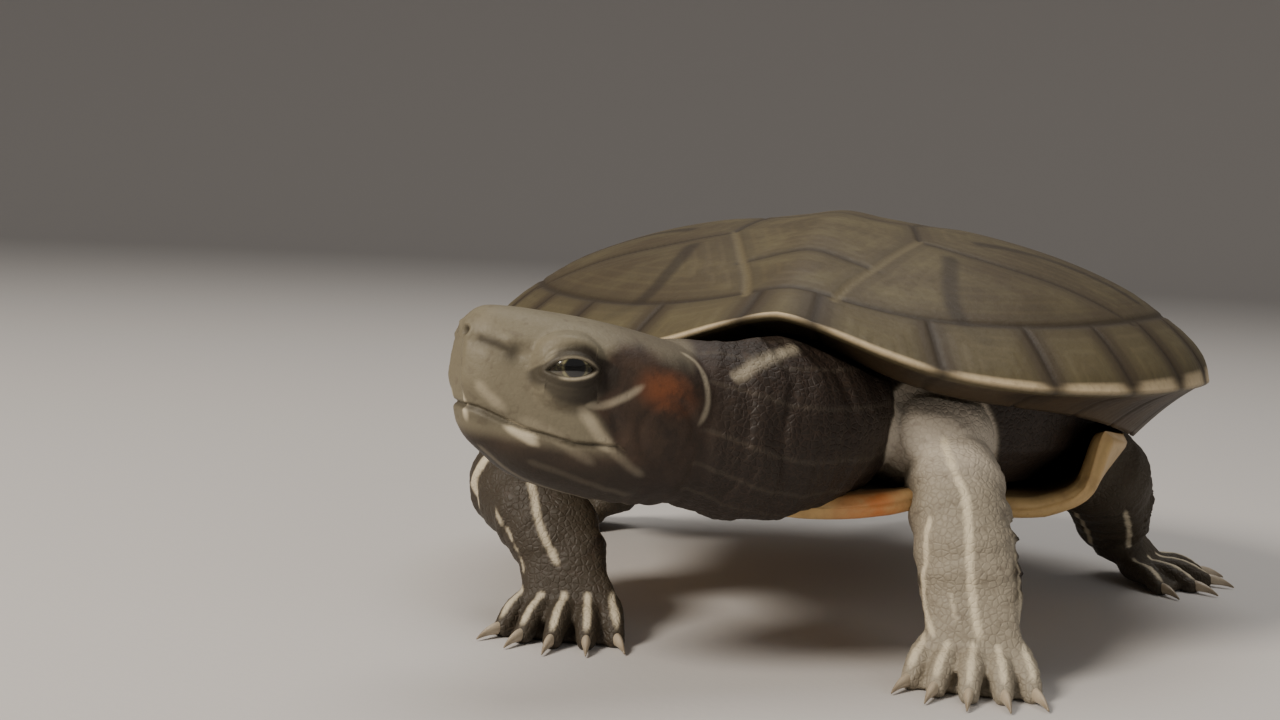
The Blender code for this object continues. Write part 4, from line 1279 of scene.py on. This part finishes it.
def sculpt_scales(points, normals):
    """Pebbled scales, rows of broad ones across the forearms and a fringe down their outer edge."""
    pebbles = scale_cells(points * (1.0, 1.0, 1.25), PEBBLE_SIZE) - 0.5
    height = 0.045 * pebbles * (1.0 - on_head(points))
    for side in SIDES:
        for stations, facing in ((FOREARM[side], -normals[:, 1]), (flip(SHANK, side), normals[:, 1])):
            share, near, run = tube_marks(points, stations)
            limb = smoothstep(1.35, 1.05, near) * smoothstep(0.0, 0.2, share)
            rows = np.abs(np.sin(run * math.pi / SCALE_ROW))
            height += 0.08 * (rows ** 0.5 - 0.6) * smoothstep(0.1, 0.6, facing) * limb
            tooth = np.mod(run / FRINGE_STEP, 1.0) ** 2
            outer = smoothstep(0.80, 0.98, normals[:, 0] * side)
            height += 0.34 * tooth * outer * limb * smoothstep(0.15, 0.5, share)
    return height


def tuck_under_rim(points):
    """Press the skin down where the shell's edge lies over it."""
    placed = shell_coordinates(points)
    x, y = placed[:, 0] / SHELL_WIDTH, (WIDEST_SHIFT - placed[:, 1]) / SHELL_LENGTH
    reach = 2.0 * np.hypot(x, y)
    over = placed[:, 2] - (margin_lift(np.arctan2(x, y)) - RIM_CLEARANCE)
    points[:, 2] -= (np.clip(over, 0.0, 1.2) * smoothstep(1.16, 1.09, reach)
                     * smoothstep(0.80, 0.88, reach))
    return points


def sculpt_skin(skin):
    """All the sculpting, in order; each relief is raised along fresh normals."""
    for relief in (sculpt_folds, sculpt_scales, sculpt_head):
        points, normals = read_points(skin), read_normals(skin)
        write_points(skin, points + normals * relief(points, normals)[:, None])
    points = tuck_under_rim(sculpt_eyes(read_points(skin)))
    points[:, 2] = np.maximum(points[:, 2], SOLE_HEIGHT)
    write_points(skin, points)


# ---------------- markings
def line_on_skin(points, normals, path, width, soft=0.45):
    """Mask of a stripe that follows a path near the skin; width is its half width in mm."""
    dense = np.array(catmull(path, 5), float)
    near = near_box(points, dense, 2.0 + width)
    offset, share, _ = nearest_on_path(points[near], dense)
    depth = (offset * normals[near]).sum(1)
    across = np.linalg.norm(offset - normals[near] * depth[:, None], axis=1)
    across += 0.20 * width * wobble(points[near], 0.9, 5.0)
    to_end = np.minimum(share, 1.0 - share) * path_length(dense)
    taper = width * (0.5 + 0.5 * smoothstep(0.0, 0.9, to_end))
    mask = np.zeros(len(points))
    mask[near] = smoothstep(taper * (1 + soft), taper * (1 - soft), across)
    mask[near] *= smoothstep(1.9, 1.2, np.abs(depth)) * smoothstep(0.0, 0.85, to_end)
    return mask


# In the head frame, on the left side: path as (along, aside, up), half width in mm, strength
HEAD_STRIPES = (
    (((15.2, 2.2, -0.4), (14.7, 2.5, -0.9), (14.0, 2.9, -1.5), (13.1, 3.3, -2.1)), 0.34, 0.32),
    (((15.8, 1.0, -1.3), (15.4, 1.2, -2.2), (15.1, 1.3, -3.3)), 0.24, 0.85),
    (((13.2, 2.8, -2.8), (12.0, 3.3, -3.1), (10.7, 3.7, -3.55)), 0.24, 0.80),
    (((12.6, 3.3, -2.2), (10.8, 4.2, -2.6), (9.2, 4.7, -3.5), (7.4, 4.8, -4.2)), 0.30, 0.12),
    (((5.7, 5.8, 1.3), (6.8, 5.6, 0.3), (8.0, 5.3, -0.45), (9.4, 5.0, -0.75)), 0.21, 0.32),
    (((9.5, 4.9, -0.6), (8.6, 5.1, -1.5), (7.7, 5.2, -2.4), (6.6, 5.3, -3.2)), 0.33, 0.36),
    (((7.6, 5.2, -2.5), (6.6, 5.3, -3.2), (5.4, 5.2, -3.9), (4.2, 5.1, -4.4)), 0.26, 0.15),
    (((3.1, 3.6, 3.5), (2.4, 3.8, 3.3), (1.9, 4.2, 2.9), (1.5, 5.0, 1.5), (1.4, 5.3, 0.3),
      (1.8, 5.5, -0.8)), 0.21, 0.37),
    (((11.4, 3.0, -4.6), (9.4, 3.7, -5.0), (7.0, 4.0, -5.5), (4.2, 3.8, -5.7)), 0.22, 0.06),
    (((14.0, 0.9, -4.4), (11.0, 1.4, -5.7), (7.5, 1.6, -6.3), (3.0, 1.5, -6.4)), 0.24, 0.16))
NOSE_LINE = ((15.1, 1.8, 2.0), (14.3, 2.5, 1.9), (13.7, 2.9, 1.7))
# the face's light tone in front of this line is painted light
FACE_BORDER = (           # (along, up): the light face lies in front of and above this line
    (3.5, -6.5), (4.6, -4.8), (6.3, -3.3), (7.5, -2.1), (8.6, -0.9), (8.2, 0.5), (8.5, 1.7),
    (8.2, 2.7), (7.2, 3.4), (6.0, 3.5), (4.8, 2.9), (2.6, 2.6), (1.8, 3.6), (1.5, 7.0))
LEG_STRIPES = (60, 120, 180, -60)       # degrees round a hind leg, the tail and the neck
TAIL_STRIPES = (40, 90, 140)
NECK_STRIPES = (-95, -62, -38, -14, 14, 40, 66, 96, 128, 156, 184, 214)
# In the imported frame, in mm: the streak over the left shoulder, and lines down the left and right
# forelegs, each with its half width and strength
NECK_STREAK = ((-1.9, -31.4, 19.3), (-1.0, -30.8, 20.0), (0.2, -29.0, 20.8), (1.5, -26.8, 21.4))
ARM_STRIPES = (
    (((10.3, -20.5, 16.0), (11.0, -21.7, 14.3), (12.2, -22.9, 12.2), (12.6, -23.7, 10.2),
      (12.9, -24.2, 7.8), (13.2, -24.2, 5.8), (13.9, -24.9, 3.2)), 0.25, 1.0),
    (((10.0, -23.2, 11.0), (10.1, -23.4, 8.6), (10.3, -23.2, 5.3), (11.0, -24.7, 3.1)), 0.20, 0.9),
    (((11.6, -24.6, 6.6), (12.3, -24.9, 4.2)), 0.16, 0.5),
    (((15.8, -22.2, 10.6), (16.2, -22.8, 7.2), (16.4, -23.3, 4.2)), 0.18, 0.5),
    # the broad line over the right elbow is partly a pale stripe and partly a painted highlight
    (((-20.9, -17.9, 12.6), (-22.0, -18.4, 11.2), (-22.9, -18.9, 9.4), (-22.6, -19.9, 7.6)),
     0.34, 1.0),
    (((-18.6, -20.0, 11.4), (-17.6, -21.4, 9.6), (-16.5, -22.6, 7.2), (-14.9, -23.2, 4.9)),
     0.26, 0.75),
    (((-20.6, -21.3, 8.4), (-19.0, -22.9, 6.0), (-18.1, -23.6, 4.0)), 0.22, 0.7))


def draft_line(path):
    """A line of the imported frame, in mm, put into the draft frame."""
    return np.array(path) - np.array(DRAFT_SHIFT)


def head_stripes(points, normals):
    """Pale stripes of the head, on both sides."""
    h = head_coordinates(points)
    n = normals @ np.array(head_matrix().inverted())[:3, :3].T
    lines = [line_on_skin(h, n, np.array(path) * (1, side, 1), width, 0.8) * strength
             for path, width, strength in HEAD_STRIPES for side in SIDES]
    return strongest(lines) * (on_head(points) > 0.0)


def tube_stripe(points, normals, stations, angle, first, width):
    """Mask of a stripe that runs down a limb at an angle round it, in degrees, from a share on."""
    rings = tube_rings(stations, 8)
    path = [ring.at(math.radians(angle)) for ring in rings[int(first * (len(rings) - 1))::2]]
    return line_on_skin(points, normals, path, width)


def toe_stripes(points, normals, foot):
    """A pale stripe down the back of each toe."""
    up = Vector((0.0, 0.0, 1.0))
    lines = []
    for i in range(len(foot.lengths)):
        root, tip, way = foot.toe_ray(i)
        path = (root + up * TOE_RADIUS,
                root * 0.45 + tip * 0.55 + up * (KNUCKLE_RISE + TOE_RADIUS),
                tip + way * 0.4 + up * TOE_TIP_RADIUS)
        lines.append(line_on_skin(points, normals, path, 0.22))
    return strongest(lines)


def limb_stripes(points, normals):
    """Pale stripes of the legs, toes and tail."""
    lines = [line_on_skin(points, normals, draft_line(path), width) * strength
             for path, width, strength in ARM_STRIPES]
    for side in SIDES:
        for angle in LEG_STRIPES:
            lines.append(tube_stripe(points, normals, flip(SHANK, side), angle, 0.0, 0.22) * 0.8)
            lines.append(tube_stripe(points, normals, flip(THIGH, side), angle, 0.4, 0.2) * 0.7)
        for foot in (FRONT_FOOT[side], HIND_FOOT[side]):
            lines.append(toe_stripes(points, normals, foot) * 0.9)
    tail = in_body(TAIL_STATIONS)
    lines += [tube_stripe(points, normals, tail, angle, 0.3, 0.15) * 0.8 for angle in TAIL_STRIPES]
    return strongest(lines)


def neck_stripes(points, normals):
    """Thin faint stripes along the neck, and the bright streak over its left shoulder."""
    neck = in_body(NECK_STATIONS)
    lines = [tube_stripe(points, normals, neck, angle, 0.2, 0.15) * 0.028 for angle in NECK_STRIPES]
    streak = line_on_skin(points, normals, draft_line(NECK_STREAK), 0.38, 0.9) * 0.33
    return strongest(lines + [streak])


def limb_near(points, *limbs):
    """1 on the named limbs, fading to 0 a little way off them."""
    near = np.minimum.reduce([tube_marks(points, stations)[1] for stations in limbs])
    return smoothstep(1.20, 1.08, near)


def foot_near(points, foot):
    """1 on a foot."""
    away = np.hypot(points[:, 0] - foot.ball_point[0], points[:, 1] - foot.ball_point[1])
    return smoothstep(7.5, 6.0, away) * smoothstep(7.0, 5.5, points[:, 2])


def eye_marks(points):
    """Masks round both eyes: the dark zone, and the pale lips of the lids."""
    dark, pale = np.zeros(len(points)), np.zeros(len(points))
    for side in SIDES:
        local = moved(points, eye_frame(side).inverted())
        gap = eye_opening(local)
        above = smoothstep(-0.2, 0.6, local[:, 1])
        behind = smoothstep(0.9, -1.3, local[:, 0])
        ahead = smoothstep(0.6, 1.7, local[:, 0])
        limit = 1.45 + 0.25 * behind - 0.55 * above - (0.30 + 0.45 * above) * ahead
        facing = (local[:, 2] > -0.6) & (np.linalg.norm(local, axis=1) < 4.8)
        zone = smoothstep(limit, limit - 0.55, gap) * facing
        rim = hill(gap - 0.06, 0.08) * facing * smoothstep(1.4, 0.7, np.abs(local[:, 0] + 0.35))
        rim *= 0.24 + 0.24 * smoothstep(0.1, -0.5, local[:, 1])
        dark = np.maximum(dark, zone * (0.78 + 0.22 * behind) * (1.0 - rim))
        pale = np.maximum(pale, rim)
    return dark, pale


def face_marks(h):
    """Dark marks of the face: nose line, temple spot, lips and nostrils."""
    nose = hill(distance_to_path(h, NOSE_LINE), 0.32) * 0.75
    wedge = hill(np.hypot(h[:, 0] - 13.5, (h[:, 2] - 1.55) * 0.8), 0.50) * (h[:, 1] > 2.0) * 0.75
    temple = hill(from_spot(h, 3.1, 2.7), 0.55) * (h[:, 1] > 3.0) * 0.6
    lips = hill(signed_distance_2d(h[:, [0, 2]], MOUTH_LINE), 0.20) * 0.65
    lips *= smoothstep(5.2, 7.0, h[:, 0])
    under_lip = hill(from_spot(h, 13.9, -2.5, 1.5, 0.7), 0.9) * 0.42
    pit = np.sqrt((h[:, 2] - NOSTRIL[2]) ** 2 + (h[:, 1] - NOSTRIL[1]) ** 2)
    # the nostrils' darkness is painted shade in their pits
    return strongest((nose, wedge, temple, lips, under_lip, hill(pit, 0.26) * (h[:, 0] > 14.5)))


def lit_and_shaded_areas(points, h, head, sway):
    """How light the skin is, as painted light and shade: the face and crown, the left foreleg, and
    less so the other legs.
    """
    border = signed_distance_2d(h[:, [0, 2]], FACE_BORDER)
    light = smoothstep(0.45, -0.45, border + 0.25 * sway) * head
    # painted shade under the jaw and on the throat
    light *= 1.0 - 0.95 * smoothstep(-2.9, -4.0, h[:, 2] + 0.04 * (h[:, 0] - 11.0) + 0.15 * sway)
    # painted shade toward the back of the head, near the shell's edge
    light *= 1.0 - 0.40 * smoothstep(9.5, 5.5, h[:, 0])
    # the left foreleg is painted as lit from its second upper-arm station on, so the shoulder under
    # the shell's edge stays in painted shade
    left = limb_near(points, UPPER_ARM[1][1:], FOREARM[1])
    left = np.maximum(left, foot_near(points, FRONT_FOOT[1]))
    right = np.maximum(limb_near(points, FOREARM[-1]), foot_near(points, FRONT_FOOT[-1]))
    # painted light: the left foreleg bright, while the right foreleg and the hind legs are painted as
    # shaded
    legs = [left * 0.97, right * 0.17]
    for side in SIDES:
        legs.append(limb_near(points, flip(SHANK, side), flip(THIGH, side)[1:]) * 0.22)
        legs.append(foot_near(points, HIND_FOOT[side]) * 0.22)
    # the left foreleg's grey grows toward its top, painted light
    return strongest([light] + legs), left * (0.42 + 0.58 * smoothstep(12.0, 15.5, points[:, 2]))


def mark_skin(skin):
    """Masks for the skin's material: pale stripes, red patch, dark patches, painted light and shade.
    """
    points, normals = read_points(skin), read_normals(skin)
    h = folded(head_coordinates(points))
    head = on_head(points)
    sway = wobble(points, 2.2, 9.0)
    dark, pale = eye_marks(points)
    stripes = [kind(points, normals) for kind in (head_stripes, limb_stripes, neck_stripes)]
    pale = strongest([pale] + stripes)
    dark = np.maximum(dark * (1.0 - 0.8 * pale), face_marks(h) * head)
    # The red patch is an oval behind the eye that slopes up forward
    patch = np.hypot((h[:, 0] - 4.2) / 2.0, (h[:, 2] - 0.95 - 0.10 * (h[:, 0] - 4.3)) / 1.25)
    red = smoothstep(1.35, 0.25, patch + 0.16 * sway) * (h[:, 1] > 2.6) * head
    light, grey = lit_and_shaded_areas(points, h, head, sway)
    # the head's brown fades out under the jaw, which leaves the throat in painted shade
    brown = smoothstep(-1.0, 3.0, h[:, 0]) * head * smoothstep(-5.2, -3.0, h[:, 2])
    for name, mask in (("pale", pale), ("dark", dark), ("red", red), ("light", light),
                       ("grey", grey), ("brown", brown), ("smooth", 0.85 * head)):
        write_mask(skin, name, np.clip(mask, 0.0, 1.0))


def skin_surface():
    """Skin: dark brown to olive, stripes and patches from the masks, pebbled and a little wet."""
    s = Surface("turtle_skin")
    mottle = s.noise(1.8, 5.0, 0.65)
    fine = s.noise(0.35, 3.0, 0.6)
    pebble = s.cells(0.42)
    uneven = s.times(s.math("SUBTRACT", mottle, 0.5), 0.30)
    # light and grey are painted light; deep is partly painted shade
    light = s.times(s.math("ADD", 1.0, uneven), s.mask("light"), True)
    bright = s.mix(s.mask("grey"), SKIN_OLIVE, SKIN_GREY)
    deep = s.mix(s.times(s.mask("brown"), s.band(mottle, 0.2, 0.7)), SKIN_DARK, SKIN_BROWN)
    s.colour = s.mix(light, deep, bright)
    s.paint(SKIN_BROWN, s.band(s.noise(0.8, 2.0), 0.56, 0.72), 0.25)
    scaly = s.math("SUBTRACT", 1.0, s.mask("smooth"))
    faint = s.math("SUBTRACT", 0.28, s.times(s.mask("grey"), 0.18))
    # painted shade: the creases between the pebbles are darkened, less so on the grey foreleg
    s.paint(SKIN_BROWN, s.times(s.band(pebble, 0.12, 0.0), faint), scaly)
    s.paint(MARK_DARK, "dark", 0.93)
    s.paint(MARK_RED, s.times(s.mask("red"), s.band(mottle, 0.20, 0.62)), 0.72)
    s.paint(MARK_PALE, s.times(s.mask("pale"), s.band(fine, 0.05, 0.45)), 0.88)
    pebbles = s.bump(s.times(s.band(pebble, 0.0, 0.22), scaly), 0.03)
    rough = s.math("ADD", 0.44, s.times(fine, 0.25))
    return s.finish(rough, s.bump(fine, 0.03, pebbles), Specular_IOR_Level=0.32)


# ---------------- eyes and claws
def build_eye(side):
    """An eyeball with a slightly raised cornea over the iris."""
    segments, rows = 64, 48
    points, ring_distance, bar = [], [], []
    place = eye_frame(side)
    for i in range(rows):
        polar = math.pi * (i + 0.02) / rows
        across = EYE_RADIUS * math.sin(polar)
        radius = EYE_RADIUS - 0.03 + 0.09 * math.exp(-(across / 0.9) ** 2) * (polar < math.pi / 2)
        for t in turns(segments):
            local = on_sphere(polar, t) * radius
            points.append(place @ local)
            height = local.y + GAZE_DROP
            ring_distance.append(math.hypot(local.x + 0.15, height) + 5.0 * (local.z < 0))
            bar.append(abs(height))
    made = mesh_object("eyeball_" + SIDES[side], points, closed_faces(rows, segments))
    face_outward(made)
    write_mask(made, "ring", ring_distance)
    write_mask(made, "bar", bar)
    return made


def eye_surface():
    """Greenish iris with a dark bar through the pupil, under a wet clear coat."""
    s = Surface("eye_wet")
    streak = s.noise(0.25, 4.0, 0.7)
    ring = s.mask("ring")
    iris = s.mix(s.band(streak, 0.35, 0.7), IRIS, SKIN_BROWN)
    s.colour = s.mix(s.band(ring, 1.42, 1.18), SCLERA, iris)
    s.paint(IRIS_RING, s.times(s.band(ring, 0.62, 0.70), s.band(ring, 0.86, 0.74)), 0.6)
    bar = s.times(s.band(s.mask("bar"), 0.30, 0.16), s.band(ring, 1.4, 1.2))
    s.paint(PUPIL, s.times(bar, s.band(streak, 0.2, 0.5)), 0.8)
    s.paint(PUPIL, s.band(ring, 0.66, 0.56))
    return s.finish(0.12, Coat_Weight=1.0, Coat_Roughness=0.03, Specular_IOR_Level=0.5)


CLAW_ROOT = 0.62           # length of a claw that lies inside the toe
CLAW_RINGS = 15
CLAW_SIDES = 18


def build_claw(name, tip, way):
    """A curved claw that leaves the end of a toe and bends down to the floor."""
    length = CLAW_LENGTH + CLAW_GAP + CLAW_ROOT
    side = Vector((way.y, -way.x, 0.0))
    rings, reach = [], []
    for k in range(CLAW_RINGS):
        t = k / (CLAW_RINGS - 1)
        centre = tip + way * (0.8 * TOE_TIP_RADIUS - CLAW_ROOT + t * length)
        centre.z = 0.70 + 0.10 * math.sin(math.pi * t) - 0.40 * t * t
        radius = CLAW_RADIUS * (1.0 - 0.86 * t ** 1.6)
        rings.append([centre + side * (0.72 * radius * math.cos(a))
                      + Vector((0, 0, radius * math.sin(a))) for a in turns(CLAW_SIDES)])
        reach += [t] * CLAW_SIDES
    mass = Mass()
    mass.add_rings(rings)
    made = mesh_object(name, mass.points, mass.faces)
    face_outward(made)
    write_mask(made, "reach", reach)
    return made


def claw_surface():
    """Horn that is pale at the root and darker at the tip."""
    s = Surface("claw_horn")
    grain = s.noise(0.2, 3.0)
    s.colour = s.mix(s.band(s.mask("reach"), 0.45, 1.0), CLAW_HORN, CLAW_TIP)
    s.paint(CLAW_TIP, grain, 0.3)
    return s.finish(0.3, s.bump(grain, 0.01), Specular_IOR_Level=0.5)


# ---------------- stage
CAMERA_PLACE = (19.2, -136.16, 29.22)   # in the draft frame, low and a little to the left
CAMERA_TURN = (85.27, -2.86, 14.93)     # tilt, roll and pan, in degrees
LENS = 48.0
FLOOR_REACH = 0.95         # radius of the floor's flat part, in metres
FLOOR_BEND = 0.55          # radius of the curve up from it
FLOOR_SPOKES = 96
# name: place and aim in metres, size, watts, colour
LAMPS = {
    "key": ((-0.22, -0.34, 0.30), (0.0, -0.01, 0.015), 0.14, 2.5, (1.0, 0.92, 0.82)),
    "fill": ((0.36, -0.26, 0.16), (0.0, 0.0, 0.015), 0.30, 0.35, (0.92, 0.95, 1.0)),
    "top": ((0.0, 0.10, 0.50), (0.0, 0.0, 0.0), 0.35, 1.2, (1.0, 0.97, 0.93))}
SKY_TONE = (0.75, 0.72, 0.70, 1.0)
SKY_STRENGTH = 0.25


def build_floor():
    """A pale round floor that curves up into a backdrop on every side; metres."""
    profile = [(0.3, 0.0), (FLOOR_REACH - 0.02, 0.0), (FLOOR_REACH, 0.0)]
    profile += [(FLOOR_REACH + FLOOR_BEND * math.sin(t), FLOOR_BEND - FLOOR_BEND * math.cos(t))
                for t in np.linspace(0.08, math.pi / 2, 20)]
    points = [(r * math.cos(a), r * math.sin(a), z) for r, z in profile
              for a in np.linspace(2 * math.pi, 0.0, FLOOR_SPOKES, endpoint=False)]
    faces = grid_faces(len(profile), FLOOR_SPOKES)
    faces.append(tuple(range(FLOOR_SPOKES))[::-1])
    made = mesh_object("studio_floor", points, faces)
    s = Surface("floor_paper")
    fibre = s.noise(0.8, 3.0)
    s.colour = FLOOR_TONE
    s.paint(FLOOR_FIBRE, fibre, 0.08)
    made.data.materials.append(s.finish(0.85, s.bump(fibre, 0.02)))
    made.data.shade_smooth()


def area_light(name, place, aim, size, power, colour):
    """A soft round lamp at a place, turned to its aim; metres and watts."""
    data = bpy.data.lights.new(name, "AREA")
    data.shape = "DISK"
    data.size = size
    data.energy = power
    data.color = colour
    lamp = bpy.data.objects.new(name, data)
    lamp.location = place
    lamp.rotation_euler = (Vector(aim) - Vector(place)).to_track_quat("-Z", "Y").to_euler()
    lamp.visible_glossy = name != "fill"     # one glint less in the wet eye
    bpy.context.scene.collection.objects.link(lamp)


def build_light():
    """A warm key from the front left of the picture, a dim fill, a lamp overhead and a grey sky."""
    for name, settings in LAMPS.items():
        area_light(name, *settings)
    world = bpy.data.worlds.new("studio")
    world.use_nodes = True
    sky = world.node_tree.nodes["Background"]
    sky.inputs["Color"].default_value = SKY_TONE
    sky.inputs["Strength"].default_value = SKY_STRENGTH
    bpy.context.scene.world = world


def build_camera():
    """A long lens low in front of the animal, a little to its left."""
    data = bpy.data.cameras.new("camera")
    data.lens = LENS
    data.sensor_width = 36.0
    data.clip_start = 0.005
    camera = bpy.data.objects.new("camera", data)
    camera.location = (Vector(CAMERA_PLACE) + DRAFT_SHIFT) * MM
    camera.rotation_euler = [math.radians(angle) for angle in CAMERA_TURN]
    bpy.context.scene.collection.objects.link(camera)
    bpy.context.scene.camera = camera


# ---------------- assembly
def build_animal():
    """Every shown piece, each with the solids it stands for."""
    finish_piece(build_carapace(), shell_surface(), "carapace", "carapace")
    finish_piece(build_plastron(), belly_surface(), "plastron",
                 "plastron", "bridge_left", "bridge_right")
    skin = cover_flesh()
    sculpt_skin(skin)
    mark_skin(skin)
    flesh = ["head", "lower_jaw", "neck", "trunk", "tail"]
    for part in ("upper_arm", "forearm", "front_foot", "thigh", "shank", "hind_foot"):
        flesh += [part + "_left", part + "_right"]
    finish_piece(skin, skin_surface(), "skin", *flesh)
    wet = eye_surface()
    horn = claw_surface()
    for side, label in SIDES.items():
        finish_piece(build_eye(side), wet, "eye", "eye_" + label)
        for kind, foot in (("front", FRONT_FOOT[side]), ("hind", HIND_FOOT[side])):
            for i in range(len(foot.lengths)):
                _, tip, way = foot.toe_ray(i)
                claw = build_claw("claw_%s_%s_%d" % (kind, label, i + 1), tip, way)
                finish_piece(claw, horn, "claw", "%s_claw_%s_%d" % (kind, label, i + 1))


build_camera()
build_floor()
build_light()
build_animal()
